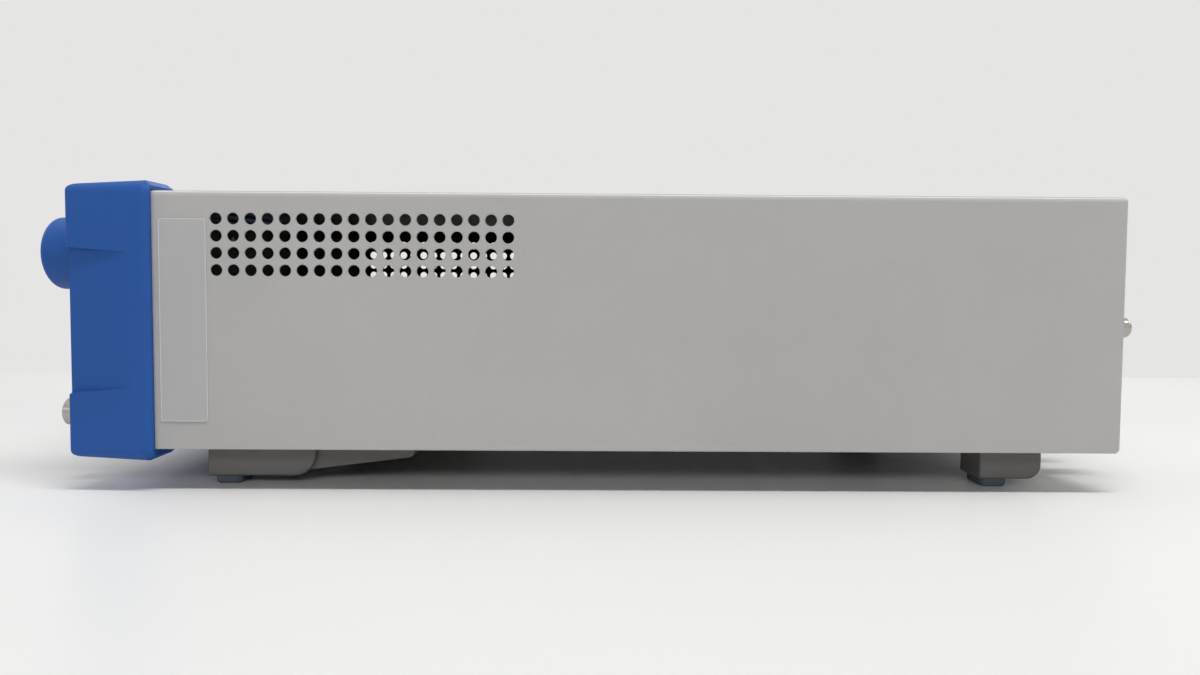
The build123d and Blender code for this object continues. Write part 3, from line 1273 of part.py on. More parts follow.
# ---------------------------------------------------------------- the whole counter
def build():
    """Every sub-part by name."""
    parts = {
        "top_cover": top_cover(),
        "chassis_tray": chassis_tray(),
        "rear_panel": rear_panel(),
        "front_bezel": front_bezel(),
        "front_panel": front_panel(),
        "display_window": display_window(),
        "side_label": side_label(),
        "front_board": front_board(),
        "digit_modules": digit_modules(),
        "key_switches": key_switches(),
        "power_button": power_button(),
        "power_switch": power_switch(),
        "dial_knob": dial_knob(),
        "encoder_shaft": encoder_shaft(),
        "encoder_body": encoder_body(),
        "encoder_nut": encoder_nut(),
        "jack_shells": placed_jacks(jack_shell(PANEL_T), jack_shell(REAR_T)),
        "jack_insulators": placed_jacks(jack_insulator(PANEL_T), jack_insulator(REAR_T)),
        "jack_contacts": jack_contacts(),
        "jack_nuts": placed_jacks(jack_nut(PANEL_T), jack_nut(REAR_T)),
        "input_lamps": input_lamps(),
        "main_board": main_board(),
        "supply_board": supply_board(),
        "board_standoffs": board_standoffs(),
        "input_shield": input_shield(),
        "reference_oven": reference_oven(),
        "board_chips": board_chips(),
        "transformer_core": transformer_core(),
        "transformer_coil": transformer_coil(),
        "supply_capacitors": supply_capacitors(),
        "ribbon_cable": ribbon_cable(),
        "mains_inlet": mains_inlet(),
        "inlet_blades": inlet_blades(),
        "fuse_drawer": fuse_drawer(),
        "lan_socket": lan_socket(),
        "usb_socket": usb_socket(),
        "earth_terminal": earth_terminal(),
        "earth_nut": earth_nut(),
        "foot_pads": foot_pads(),
        "case_screws": case_screws(),
        "board_screws": board_screws(),
    }
    for name, x, z, w in KEYS:
        parts[name] = key(x, z, w)
    for name, shape in (("front_foot", front_foot()), ("rear_foot", rear_foot()), ("tilt_leg", tilt_leg())):
        right, left = both_sides(shape)
        parts[f"{name}_right"] = right
        parts[f"{name}_left"] = left
    return parts


def main():
    os.makedirs("parts", exist_ok=True)
    for name, shape in build().items():
        if isinstance(shape, list):
            shape = Compound(children=shape)
        export_step(shape, f"parts/{name}.step")


main()
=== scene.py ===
import json
import math

import bpy
from mathutils import Euler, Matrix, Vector


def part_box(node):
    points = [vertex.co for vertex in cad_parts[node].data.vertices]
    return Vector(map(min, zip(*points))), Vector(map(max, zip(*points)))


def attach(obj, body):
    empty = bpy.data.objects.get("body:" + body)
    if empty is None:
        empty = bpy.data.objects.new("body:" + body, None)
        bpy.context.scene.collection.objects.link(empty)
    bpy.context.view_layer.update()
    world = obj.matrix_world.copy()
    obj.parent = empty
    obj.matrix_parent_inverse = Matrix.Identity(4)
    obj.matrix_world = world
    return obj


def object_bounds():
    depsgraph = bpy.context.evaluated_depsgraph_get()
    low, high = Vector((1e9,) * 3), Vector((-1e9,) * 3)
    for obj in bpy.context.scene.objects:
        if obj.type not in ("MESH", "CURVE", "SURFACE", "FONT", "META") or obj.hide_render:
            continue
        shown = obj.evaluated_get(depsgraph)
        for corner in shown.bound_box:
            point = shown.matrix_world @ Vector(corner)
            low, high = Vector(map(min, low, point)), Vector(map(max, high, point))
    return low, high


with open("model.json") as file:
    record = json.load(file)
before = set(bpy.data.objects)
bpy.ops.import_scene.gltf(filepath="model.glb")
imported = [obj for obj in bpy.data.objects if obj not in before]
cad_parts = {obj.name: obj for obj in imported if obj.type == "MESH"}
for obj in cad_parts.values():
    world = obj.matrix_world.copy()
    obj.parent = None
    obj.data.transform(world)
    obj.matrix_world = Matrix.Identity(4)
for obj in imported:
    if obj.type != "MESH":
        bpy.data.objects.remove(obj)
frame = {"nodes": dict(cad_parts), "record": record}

CAD_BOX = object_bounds()
NODES = frame["nodes"]
ROOT = "counter"
HALF_SHEET = 0.0005  # half the cover's thickness
BLUE_DARK = (0.0125, 0.083, 0.33)
BLUE_LIGHT = (0.016, 0.094, 0.36)


# ---------------------------------------------------------------- node-based materials
class Paint:
    """A material under construction: object coordinates in metres and one Principled shader."""

    def __init__(self, name, roughness, metallic=0.0):
        self.material = bpy.data.materials.new(name)
        self.material.use_nodes = True
        self.tree = self.material.node_tree
        self.shader = self.tree.nodes["Principled BSDF"]
        self.shader.inputs["Metallic"].default_value = metallic
        self.shader.inputs["Roughness"].default_value = roughness
        self.coordinates = self.tree.nodes.new("ShaderNodeTexCoord").outputs["Object"]
        self.bump = None

    def link(self, source, target):
        """Joins one node's output to another's input."""
        self.tree.links.new(source, target)

    def stretched(self, scale):
        """Object coordinates stretched by one factor for each axis."""
        mapping = self.tree.nodes.new("ShaderNodeMapping")
        mapping.inputs["Scale"].default_value = scale
        self.link(self.coordinates, mapping.inputs["Vector"])
        return mapping.outputs["Vector"]

    def noise(self, scale, detail=2.0, coordinates=None):
        """Soft noise from 0 to 1, in the object's coordinates or stretched ones."""
        node = self.tree.nodes.new("ShaderNodeTexNoise")
        node.inputs["Scale"].default_value = scale
        node.inputs["Detail"].default_value = detail
        self.link(coordinates or self.coordinates, node.inputs["Vector"])
        return node.outputs["Fac"]

    def cells(self, scale):
        """The distance to the nearest of many scattered points."""
        node = self.tree.nodes.new("ShaderNodeTexVoronoi")
        node.inputs["Scale"].default_value = scale
        self.link(self.coordinates, node.inputs["Vector"])
        return node.outputs["Distance"]

    def ramp(self, value, low, high, start=0.3, end=0.7):
        """Maps a value between start and end onto low to high."""
        node = self.tree.nodes.new("ShaderNodeMapRange")
        node.inputs["From Min"].default_value = start
        node.inputs["From Max"].default_value = end
        node.inputs["To Min"].default_value = low
        node.inputs["To Max"].default_value = high
        self.link(value, node.inputs["Value"])
        return node.outputs["Result"]

    def blend(self, value, first, second):
        """A colour between two, by a value from 0 to 1."""
        node = self.tree.nodes.new("ShaderNodeMix")
        node.data_type = "RGBA"
        node.inputs["A"].default_value = (*first, 1.0)
        node.inputs["B"].default_value = (*second, 1.0)
        self.link(value, node.inputs["Factor"])
        return node.outputs["Result"]

    def within(self, centre, half):
        """1 inside a box and 0 outside it."""
        inside = None
        shift = self.tree.nodes.new("ShaderNodeVectorMath")
        shift.operation = "SUBTRACT"
        shift.inputs[1].default_value = centre
        self.link(self.coordinates, shift.inputs[0])
        size = self.tree.nodes.new("ShaderNodeVectorMath")
        size.operation = "ABSOLUTE"
        self.link(shift.outputs["Vector"], size.inputs[0])
        parts = self.tree.nodes.new("ShaderNodeSeparateXYZ")
        self.link(size.outputs["Vector"], parts.inputs["Vector"])
        for axis, limit in zip("XYZ", half):
            less = self.tree.nodes.new("ShaderNodeMath")
            less.operation = "LESS_THAN"
            less.inputs[1].default_value = limit
            self.link(parts.outputs[axis], less.inputs[0])
            if inside is None:
                inside = less.outputs["Value"]
                continue
            both = self.tree.nodes.new("ShaderNodeMath")
            both.operation = "MULTIPLY"
            self.link(inside, both.inputs[0])
            self.link(less.outputs["Value"], both.inputs[1])
            inside = both.outputs["Value"]
        return inside

    def colour(self, first, second, scale, detail=3.0):
        """Base colour that drifts softly between two tones."""
        drift = self.ramp(self.noise(scale, detail), 0.0, 1.0, 0.35, 0.65)
        self.link(self.blend(drift, first, second), self.shader.inputs["Base Color"])

    def sheen_spread(self, scale, low, high):
        """Roughness that varies in soft patches."""
        self.link(self.ramp(self.noise(scale, 3.0), low, high), self.shader.inputs["Roughness"])

    def grain(self, height, distance, strength):
        """Adds a height field to the surface's bump."""
        node = self.tree.nodes.new("ShaderNodeBump")
        node.inputs["Strength"].default_value = strength
        node.inputs["Distance"].default_value = distance
        self.link(height, node.inputs["Height"])
        if self.bump is not None:
            self.link(self.bump, node.inputs["Normal"])
        self.bump = node.outputs["Normal"]
        self.link(self.bump, self.shader.inputs["Normal"])

    def soft_edges(self, radius):
        """Small rounded edges, in shading only."""
        node = self.tree.nodes.new("ShaderNodeBevel")
        node.samples = 4
        node.inputs["Radius"].default_value = radius
        self.bump = node.outputs["Normal"]
        self.link(self.bump, self.shader.inputs["Normal"])


def grey(value, warmth=0.0):
    """A grey, with red up and blue down by a share where it is warm."""
    return (value * (1 + warmth), value, value * (1 - warmth))


def powder_coat(name, tone, painted_zones=()):
    """Painted sheet; each painted zone is a box, as its middle and half sizes, and the flat tone painted
    within it as painted light or painted shade.
    """
    paint = Paint(name, 0.6)
    paint.shader.inputs["Specular IOR Level"].default_value = 0.35
    paint.soft_edges(0.0005)
    paint.colour(grey(tone * 0.97, 0.012), grey(tone * 1.03, 0.02), 14)
    # each zone lays a flat tone over the coat's colour: painted light or painted shade
    for centre, half, painted_tone in painted_zones:
        outer = paint.shader.inputs["Base Color"].links[0].from_socket
        painted_mix = paint.tree.nodes.new("ShaderNodeMix")
        painted_mix.data_type = "RGBA"
        painted_mix.inputs["B"].default_value = (*grey(painted_tone), 1.0)
        paint.link(outer, painted_mix.inputs["A"])
        paint.link(paint.within(centre, half), painted_mix.inputs["Factor"])
        paint.link(painted_mix.outputs["Result"], paint.shader.inputs["Base Color"])
    paint.sheen_spread(60, 0.52, 0.66)
    paint.grain(paint.noise(1500, 2.0), 0.0001, 0.75)
    paint.grain(paint.noise(520, 2.0), 0.00012, 0.35)
    return paint.material


FINE_GRAIN = 0.00001  # depth of a polished mould's grain
SHARP_EDGE = 0.0001  # rounding on the edges of thin and small mouldings


def moulded(name, first, second, roughness, grain=0.00003, edge=0.0003, specular=0.5):
    """Injection-moulded plastic with a fine spark-eroded grain."""
    paint = Paint(name, roughness)
    paint.shader.inputs["Specular IOR Level"].default_value = specular
    paint.soft_edges(edge)
    paint.colour(first, second, 22)
    paint.sheen_spread(45, roughness - 0.07, roughness + 0.08)
    paint.grain(paint.cells(2600), grain, 0.4)
    return paint.material


def brushed(name, tone, direction, roughness):
    """Metal with fine lines; direction stretches the lines along one axis."""
    paint = Paint(name, roughness, metallic=1.0)
    paint.soft_edges(0.0002)
    light = grey(tone)
    dark = grey(tone * 0.86)
    lines = paint.noise(1.0, 4.0, paint.stretched(direction))
    paint.link(paint.blend(paint.ramp(lines, 0.0, 1.0), dark, light), paint.shader.inputs["Base Color"])
    paint.sheen_spread(90, roughness - 0.06, roughness + 0.1)
    paint.grain(lines, 0.00002, 0.3)
    return paint.material


def plated(name, colour, roughness=0.16):
    """Bright plating with faint smears."""
    paint = Paint(name, roughness, metallic=1.0)
    paint.soft_edges(0.00015)
    paint.colour(tuple(c * 0.93 for c in colour), colour, 300)
    paint.sheen_spread(500, roughness - 0.05, roughness + 0.09)
    return paint.material


def printed(name, first, second, roughness=0.5):
    """Screen-printed ink: a thin flat film with a faint unevenness."""
    paint = Paint(name, roughness)
    paint.colour(first, second, 900)
    paint.sheen_spread(700, roughness - 0.06, roughness + 0.08)
    return paint.material


def rubbery(name, first, second):
    """Dull rubber with a coarse skin."""
    paint = Paint(name, 0.78)
    paint.soft_edges(0.0003)
    paint.colour(first, second, 90)
    paint.grain(paint.noise(2200, 3.0), 0.00006, 0.5)
    return paint.material


def laminate(name, mask, trace):
    """A circuit board: solder mask with fine copper runs showing through as a lighter tone."""
    paint = Paint(name, 0.5)
    paint.shader.inputs["Specular IOR Level"].default_value = 0.2
    bricks = paint.tree.nodes.new("ShaderNodeTexBrick")
    bricks.inputs["Scale"].default_value = 160
    bricks.inputs["Mortar Size"].default_value = 0.025
    bricks.inputs["Color1"].default_value = (*mask, 1.0)
    bricks.inputs["Color2"].default_value = (*tuple(c * 1.15 for c in mask), 1.0)
    bricks.inputs["Mortar"].default_value = (*trace, 1.0)
    paint.link(paint.stretched((1.0, 1.0, 0.25)), bricks.inputs["Vector"])
    paint.link(bricks.outputs["Color"], paint.shader.inputs["Base Color"])
    paint.grain(bricks.outputs["Fac"], 0.00004, 0.5)
    return paint.material


def smoked_window(name):
    """Dark tinted clear plastic with a faint orange-peel on its gloss."""
    paint = Paint(name, 0.06)
    paint.shader.inputs["Specular IOR Level"].default_value = 0.3
    paint.shader.inputs["Base Color"].default_value = (0.012, 0.014, 0.018, 1.0)
    paint.shader.inputs["Alpha"].default_value = 0.35
    paint.shader.inputs["IOR"].default_value = 1.49
    paint.sheen_spread(220, 0.04, 0.09)
    paint.grain(paint.noise(160, 2.0), 0.00003, 0.15)
    return paint.material


def wound_tape(name):
    """Yellow tape wound round the coil in fine bands."""
    paint = Paint(name, 0.4)
    bands = paint.noise(1.0, 2.0, paint.stretched((60.0, 60.0, 900.0)))
    mixed = paint.blend(paint.ramp(bands, 0.0, 1.0), (0.55, 0.36, 0.05), (0.72, 0.5, 0.09))
    paint.link(mixed, paint.shader.inputs["Base Color"])
    paint.grain(bands, 0.00012, 0.6)
    return paint.material


def laminated_core(name):
    """A stack of thin dark sheets."""
    paint = Paint(name, 0.5, metallic=0.7)
    sheets = paint.noise(1.0, 1.0, paint.stretched((8.0, 2400.0, 8.0)))
    mixed = paint.blend(paint.ramp(sheets, 0.0, 1.0), (0.05, 0.045, 0.045), (0.16, 0.15, 0.15))
    paint.link(mixed, paint.shader.inputs["Base Color"])
    paint.grain(sheets, 0.0001, 0.7)
    return paint.material


def flat_cable(name):
    """Grey cores side by side."""
    paint = Paint(name, 0.5)
    cores = paint.tree.nodes.new("ShaderNodeTexWave")
    cores.inputs["Scale"].default_value = 124
    paint.link(paint.coordinates, cores.inputs["Vector"])
    mixed = paint.blend(cores.outputs["Fac"], (0.3, 0.31, 0.33), (0.45, 0.46, 0.48))
    paint.link(mixed, paint.shader.inputs["Base Color"])
    paint.grain(cores.outputs["Fac"], 0.0003, 0.8)
    return paint.material


def cover_painted_light_and_shade():
    """The cover's unseen inside faces: painted shade over the whole inside, and painted light on the
    underside of the top where daylight through the vents would strike it.
    """
    low, high = (Vector(corner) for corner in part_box("top_cover"))
    centre = (low + high) / 2
    half = (high - low) / 2 - Vector((HALF_SHEET, HALF_SHEET, 3 * HALF_SHEET))
    under_top = Vector((centre.x, centre.y, high.z - 2 * HALF_SHEET))
    # 0.02 is painted shade inside the cover; 0.85 is painted light on the top's underside
    return [(centre, half, 0.02), (under_top, Vector((half.x, half.y, HALF_SHEET)), 0.85)]


def finishes():
    """A material for each of the record's material slots."""
    along_y = (900.0, 12.0, 900.0)
    across = (700.0, 700.0, 20.0)
    return {
        # the cover's material also holds the painted shade and painted light inside the cover
        "cover_paint": powder_coat("cover_powder_with_painted_light_and_shade", 0.45, cover_painted_light_and_shade()),
        "rear_paint": powder_coat("rear_powder", 0.43),
        "zinc_steel": brushed("zinc_sheet", 0.3, along_y, 0.5),
        "blue_plastic": moulded("blue_moulding", BLUE_DARK, BLUE_LIGHT, 0.56, specular=0.3),
        "panel_plastic": moulded("panel_moulding", grey(0.5, 0.012), grey(0.54, 0.015), 0.55),
        "window_tint": smoked_window("smoked_window"),
        "label_film": moulded("label_film", grey(0.44), grey(0.455, 0.004), 0.42, FINE_GRAIN, SHARP_EDGE),
        "foot_plastic": moulded("foot_moulding", grey(0.12, 0.05), grey(0.145, 0.05), 0.55),
        "pad_rubber": rubbery("pad_rubber", (0.075, 0.095, 0.12), (0.1, 0.125, 0.15)),
        "circuit_board": laminate("board_mask", (0.008, 0.055, 0.022), (0.02, 0.1, 0.04)),
        "display_black": moulded("display_face", grey(0.012), grey(0.018), 0.3, FINE_GRAIN, SHARP_EDGE),
        "switch_black": moulded("black_moulding", grey(0.018), grey(0.028), 0.45),
        "key_grey": moulded("key_moulding", grey(0.13, 0.01), grey(0.15, 0.01), 0.6, edge=0.0002),
        "encoder_metal": brushed("turned_metal", 0.66, across, 0.3),
        "nickel": plated("nickel_plate", (0.44, 0.42, 0.39)),
        "white_insulator": moulded("white_insulator", grey(0.74), grey(0.8), 0.5, FINE_GRAIN, SHARP_EDGE),
        "contact_gold": plated("gold_plate", (0.95, 0.67, 0.26), 0.22),
        "lamp_green": moulded("lamp_tint", (0.05, 0.3, 0.07), (0.08, 0.38, 0.1), 0.2, FINE_GRAIN, SHARP_EDGE),
        "tinned_can": brushed("tinned_sheet", 0.66, (25.0, 700.0, 700.0), 0.3),
        "core_steel": laminated_core("laminated_core"),
        "coil_tape": wound_tape("coil_tape"),
        "capacitor_sleeve": moulded("shrunk_sleeve", (0.012, 0.014, 0.05), (0.02, 0.022, 0.07), 0.28),
        "ribbon_grey": flat_cable("flat_cable"),
        "inlet_black": moulded("inlet_moulding", grey(0.016), grey(0.024), 0.4),
        "blade_brass": plated("plated_blade", (0.72, 0.66, 0.56), 0.25),
        "socket_metal": brushed("socket_sheet", 0.62, (300.0, 20.0, 900.0), 0.3),
        "screw_steel": plated("screw_zinc", (0.64, 0.64, 0.62), 0.28),
    }


def paint_nodes(materials):
    """Gives every CAD node the material of its slot."""
    for part in frame["record"]["subparts"]:
        node = NODES[part["node"]]
        material = materials[part["material_slot"]]
        if not node.material_slots:
            node.data.materials.append(material)
        for place in node.material_slots:
            place.material = material


# ---------------------------------------------------------------- printed marks and small details
MARK_T = 0.00002  # thickness of a printed mark
FINE_LINE = 0.00035  # width of the front panel's printed lines
RING_R = 0.0078  # printed ring round a jack
RING_GAP = 0.0001  # from the ring's middle line to the middle of the tick's end
FRONT_FACE = (Vector((1, 0, 0)), Vector((0, 0, 1)), Vector((0, -1, 0)))
REAR_FACE = (Vector((-1, 0, 0)), Vector((0, 0, 1)), Vector((0, 1, 0)))
TOP_FACE = (Vector((1, 0, 0)), Vector((0, 1, 0)), Vector((0, 0, 1)))
SIDE_FACE = (Vector((0, 1, 0)), Vector((0, 0, 1)), Vector((1, 0, 0)))


def middle(low, high):
    """The middle of a box."""
    return tuple((a + b) / 2 for a, b in zip(low, high))


def bar(start, end, width):
    """A straight stroke with square ends, as four (u, v) points."""
    run = Vector(end) - Vector(start)
    along = run.normalized() * width / 2
    across = Vector((-along.y, along.x))
    first = Vector(start) - along
    last = Vector(end) + along
    return [first - across, last - across, last + across, first + across]


def strokes(points, width):
    """A line through points as quads that meet edge to edge; it closes if it ends where it began."""
    spots = [Vector(p) for p in points]
    closed = (spots[0] - spots[-1]).length < 1e-7
    runs = [(b - a).normalized() for a, b in zip(spots, spots[1:])]
    edges = []
    for i, spot in enumerate(spots):
        ways = runs[max(i - 1, 0):i + 1]
        if closed and i in (0, len(runs)):
            ways = [runs[-1], runs[0]]
        way = sum(ways, Vector((0, 0))).normalized()
        mitre = 1 / max(way.dot(ways[0]), 0.5)
        across = Vector((-way.y, way.x)) * width / 2 * mitre
        edges.append((spot - across, spot + across))
    return [[a[0], b[0], b[1], a[1]] for a, b in zip(edges, edges[1:])]


def ring(u, v, tick, width):
    """A printed ring round a jack, with a tick of a given length above it."""
    start = v + RING_R + RING_GAP
    return strokes(arc(u, v, RING_R, 100, 440, 44), width) + [bar((u, start), (u, start + tick), width)]


def arc(u, v, radius, start, end, steps=24):
    """Points on a circle between two angles in degrees."""
    turns = [math.radians(start + (end - start) * i / steps) for i in range(steps + 1)]
    return [(u + radius * math.cos(t), v + radius * math.sin(t)) for t in turns]


def frame_line(u0, v0, u1, v1, radius, width):
    """A rounded rectangle drawn as a thin line."""
    left, right = u0 + radius, u1 - radius
    bottom, top = v0 + radius, v1 - radius
    corners = []
    for quarter, (u, v) in enumerate(((right, top), (left, top), (left, bottom), (right, bottom))):
        corners += arc(u, v, radius, 90 * quarter, 90 * quarter + 90, 8)
    return strokes(corners + corners[:1], width)


def disc(u, v, radius):
    """A filled circle, as a list of one outline."""
    return [arc(u, v, radius, 0, 360)[:-1]]


def relief(name, outlines, origin, face, height, material, body, bevel=0.0):
    """Thin raised shapes, each given by its (u, v) outline, on the face through origin."""
    right, up, out = face
    if right.cross(up).dot(out) < 0:
        outlines = [outline[::-1] for outline in outlines]
    vertices = []
    faces = []
    for outline in outlines:
        count = len(outline)
        start = len(vertices)
        centre = sum((Vector(p) for p in outline), Vector((0, 0))) / count
        for level, inset in ((0.0, 0.0), (height, bevel)):
            for point in outline:
                away = Vector(point) - centre
                u, v = centre + away * (1 - inset / max(away.length, 1e-6))
                vertices.append(Vector(origin) + right * u + up * v + out * level)
        for i in range(count):
            j = (i + 1) % count
            faces.append((start + i, start + j, start + count + j, start + count + i))
        faces.append([start + count + i for i in range(count)])
        faces.append([start + i for i in reversed(range(count))])
    return piece(name, vertices, faces, material, body)


def piece(name, vertices, faces, material, body):
    """A new mesh with one material, riding on a body."""
    mesh = bpy.data.meshes.new(name)
    mesh.from_pydata(vertices, [], faces)
    mesh.materials.append(material)
    mesh.update()
    thing = bpy.data.objects.new(name, mesh)
    bpy.context.collection.objects.link(thing)
    bpy.context.view_layer.update()
    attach(thing, body)
    return thing


def islands(node):
    """The (low, high) corners of each separate solid of a node."""
    mesh = NODES[node].data
    place = {}
    joined = list(range(len(mesh.vertices)))

    def root(i):
        """The vertex that stands for the solid that vertex i belongs to."""
        while joined[i] != i:
            joined[i] = joined[joined[i]]
            i = joined[i]
        return i

    for vertex in mesh.vertices:
        spot = tuple(round(c, 6) for c in vertex.co)
        joined[root(vertex.index)] = root(place.setdefault(spot, vertex.index))
    for edge in mesh.edges:
        joined[root(edge.vertices[0])] = root(edge.vertices[1])
    boxes = {}
    for vertex in mesh.vertices:
        low, high = boxes.setdefault(root(vertex.index), (vertex.co.copy(), vertex.co.copy()))
        for axis in range(3):
            low[axis] = min(low[axis], vertex.co[axis])
            high[axis] = max(high[axis], vertex.co[axis])
    return sorted(boxes.values(), key=lambda box: tuple(round(c, 5) for c in box[0]))


SEGMENT_T = 0.0011
SEGMENT_GAP = 0.55  # open length at a segment's end, as a share of its half width
DIGIT_W = 0.0044
DIGIT_H = 0.0095
DIGIT_LEAN = 0.1
DIGITS_PER_BLOCK = 4
DIGIT_PLACE = 0.45  # a digit's middle, as a share of the room that it has
POINT_PLACE = 1.5  # the decimal point, in half widths from the digit's middle


def segment(u0, v0, u1, v1):
    """One pointed segment of a digit between two of its corners."""
    half = SEGMENT_T / 2
    gap = half * SEGMENT_GAP
    run = (Vector((u1, v1)) - Vector((u0, v0))).normalized()
    across = Vector((-run.y, run.x)) * half
    first = Vector((u0, v0)) + run * gap
    last = Vector((u1, v1)) - run * gap
    inner_first = first + run * half
    inner_last = last - run * half
    points = [first, inner_first - across, inner_last - across]
    points += [last, inner_last + across, inner_first + across]
    return [(p.x + DIGIT_LEAN * p.y, p.y) for p in points]


def digit_segments(u, v):
    """Seven segments and a point, unlit, centred on (u, v)."""
    w, h = DIGIT_W / 2, DIGIT_H / 2
    corners = [(-w, h, w, h), (-w, 0, w, 0), (-w, -h, w, -h)]
    corners += [(side, v0, side, v0 + h) for side in (-w, w) for v0 in (-h, 0)]
    shapes = [segment(*c) for c in corners] + disc(w * POINT_PLACE, -h, SEGMENT_T / 2)
    return [[(u + a, v + b) for a, b in shape] for shape in shapes]


def digits(ink):
    """The unlit segments on the display blocks."""
    shapes = []
    for low, high in islands("digit_modules"):
        pitch = (high[0] - low[0]) / DIGITS_PER_BLOCK
        for i in range(DIGITS_PER_BLOCK):
            shapes += digit_segments(low[0] + (i + DIGIT_PLACE) * pitch, (low[2] + high[2]) / 2)
    low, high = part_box("digit_modules")
    relief("digit_segments", shapes, (0, low[1], 0), FRONT_FACE, MARK_T, ink, ROOT)


# each numeral's strokes, in units of its width: it is 1 wide and 1.6 high
NUMERALS = {
    1: [[(0.25, 1.3), (0.55, 1.6), (0.55, 0)]],
    2: [arc(0.5, 1.15, 0.45, 170, -40, 12) + [(0.05, 0), (1, 0)]],
    3: [arc(0.48, 1.2, 0.4, 150, -90, 12) + arc(0.48, 0.4, 0.42, 90, -150, 12)],
    4: [[(0.7, 0), (0.7, 1.6), (0, 0.5), (1, 0.5)]],
    5: [[(0.9, 1.6), (0.18, 1.6), (0.12, 0.85)] + arc(0.48, 0.52, 0.5, 130, -140, 14)],
    6: [arc(0.5, 0.48, 0.46, 0, 360, 20), [(0.06, 0.6), (0.22, 1.15), (0.7, 1.6)]],
    7: [[(0, 1.6), (1, 1.6), (0.4, 0)]],
    8: [arc(0.5, 1.2, 0.37, 0, 360, 18), arc(0.5, 0.43, 0.43, 0, 360, 18)],
    9: [arc(0.5, 1.12, 0.46, 0, 360, 20), [(0.94, 1.0), (0.78, 0.45), (0.3, 0)]],
}
NUMERAL_W = 0.0021
NUMERAL_MIDDLE = (0.5, 0.8)
NUMERAL_LINE = 0.00032
SOFT_BAR = 0.0016  # half length of a soft key's bar
SOFT_BAR_LINE = 0.00045
POWER_R = 0.0016
POWER_LINE = 0.0003
POWER_BAR = (0.0005, 0.002)  # its ends, from the ring's centre upwards


def front_mark(name, shapes, node, ink):
    """White print on the front face of a button; the node and its body share a name."""
    low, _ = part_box(node)
    relief(name, shapes, (0, low[1], 0), FRONT_FACE, MARK_T, ink, node)


def key_marks(ink):
    """Plain numerals on the keypad and a short bar on each key under the window."""
    u_middle, v_middle = NUMERAL_MIDDLE
    for number, lines in NUMERALS.items():
        node = f"key_{number}"
        u, _, v = middle(*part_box(node))
        shapes = []
        for line in lines:
            placed = [(u + (a - u_middle) * NUMERAL_W, v + (b - v_middle) * NUMERAL_W) for a, b in line]
            shapes += strokes(placed, NUMERAL_LINE)
        front_mark(f"key_mark_{number}", shapes, node, ink)
    for number in range(1, 5):
        node = f"soft_key_{number}"
        u, _, v = middle(*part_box(node))
        shapes = [bar((u - SOFT_BAR, v), (u + SOFT_BAR, v), SOFT_BAR_LINE)]
        front_mark(f"soft_key_mark_{number}", shapes, node, ink)


def power_mark(ink):
    """The plain power symbol: an open ring with a bar in its gap."""
    node = "power_button"
    u, _, v = middle(*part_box(node))
    shapes = strokes(arc(u, v, POWER_R, 120, 420, 28), POWER_LINE)
    start, end = POWER_BAR
    shapes.append(bar((u, v + start), (u, v + end), POWER_LINE))
    front_mark("power_mark", shapes, node, ink)


def round_places(node, front):
    """Middles, as (x, z), of a node's solids at the front or at the rear."""
    places = []
    for low, high in islands(node):
        x, y, z = middle(low, high)
        if (y < 0) == front:
            places.append((x, z))
    return places


KEYPAD_MARGIN = 0.0028
KEYPAD_CORNER = 0.002
POWER_MARGIN = 0.001
POWER_CORNER = 0.0018
FRONT_TICK = 0.0037  # from a jack's ring up to its lamp
DIAL_TICK = 0.0012  # a tick's length, and its distance from the dial


def dial_ticks():
    """Short ticks round the dial where the panel shows beside it."""
    low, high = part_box("dial_knob")
    x, _, z = middle(low, high)
    reach = (high[0] - low[0]) / 2 + DIAL_TICK
    ticks = []
    for turn in range(60, 241, 30):
        way = Vector((math.cos(math.radians(turn)), math.sin(math.radians(turn))))
        ticks.append(bar(Vector((x, z)) + way * reach, Vector((x, z)) + way * (reach + DIAL_TICK), FINE_LINE))
    return ticks


def panel_print(ink):
    """Thin printed lines on the front panel: round the keypad, the jacks, the dial and the power button."""
    low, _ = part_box("front_panel")
    (left, _, _), (_, _, top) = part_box("key_1")
    (_, _, bottom), (right, _, _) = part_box("key_9")
    left, right = left - KEYPAD_MARGIN, right + KEYPAD_MARGIN
    bottom, top = bottom - KEYPAD_MARGIN, top + KEYPAD_MARGIN
    shapes = frame_line(left, bottom, right, top, KEYPAD_CORNER, FINE_LINE)
    for x, z in round_places("jack_shells", True):
        shapes += ring(x, z, FRONT_TICK, FINE_LINE)
    shapes += dial_ticks()
    (left, _, bottom), (right, _, top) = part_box("power_button")
    left, right = left - POWER_MARGIN, right + POWER_MARGIN
    bottom, top = bottom - POWER_MARGIN, top + POWER_MARGIN
    shapes += frame_line(left, bottom, right, top, POWER_CORNER, FINE_LINE)
    relief("panel_print", shapes, (0, low[1], 0), FRONT_FACE, MARK_T, ink, ROOT)


WINDOW_EDGE = 0.0028  # breadth of the border along the window's edges
WINDOW_INK = 0.92 * WINDOW_EDGE
WINDOW_INSET = 1.4 * WINDOW_EDGE  # an upright bar's end, from the window's edge


def window_mask(ink):
    """The opaque border printed on the window: two long bars and an upright at each end."""
    low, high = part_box("display_window")
    half = WINDOW_EDGE / 2
    left, right = low[0] + half, high[0] - half
    bottom, top = low[2] + half, high[2] - half
    shapes = [bar((left, v), (right, v), WINDOW_INK) for v in (top, bottom)]
    for u in (left, right):
        shapes.append(bar((u, low[2] + WINDOW_INSET), (u, high[2] - WINDOW_INSET), WINDOW_INK))
    relief("window_border", shapes, (0, low[1], 0), FRONT_FACE, MARK_T, ink, ROOT)


REAR_LINE = 0.0004
REAR_TICK = 0.0031
SOCKET_MARGIN = 0.002
SOCKET_MARGIN_LOW = 0.001
SOCKET_CORNER = 0.0015


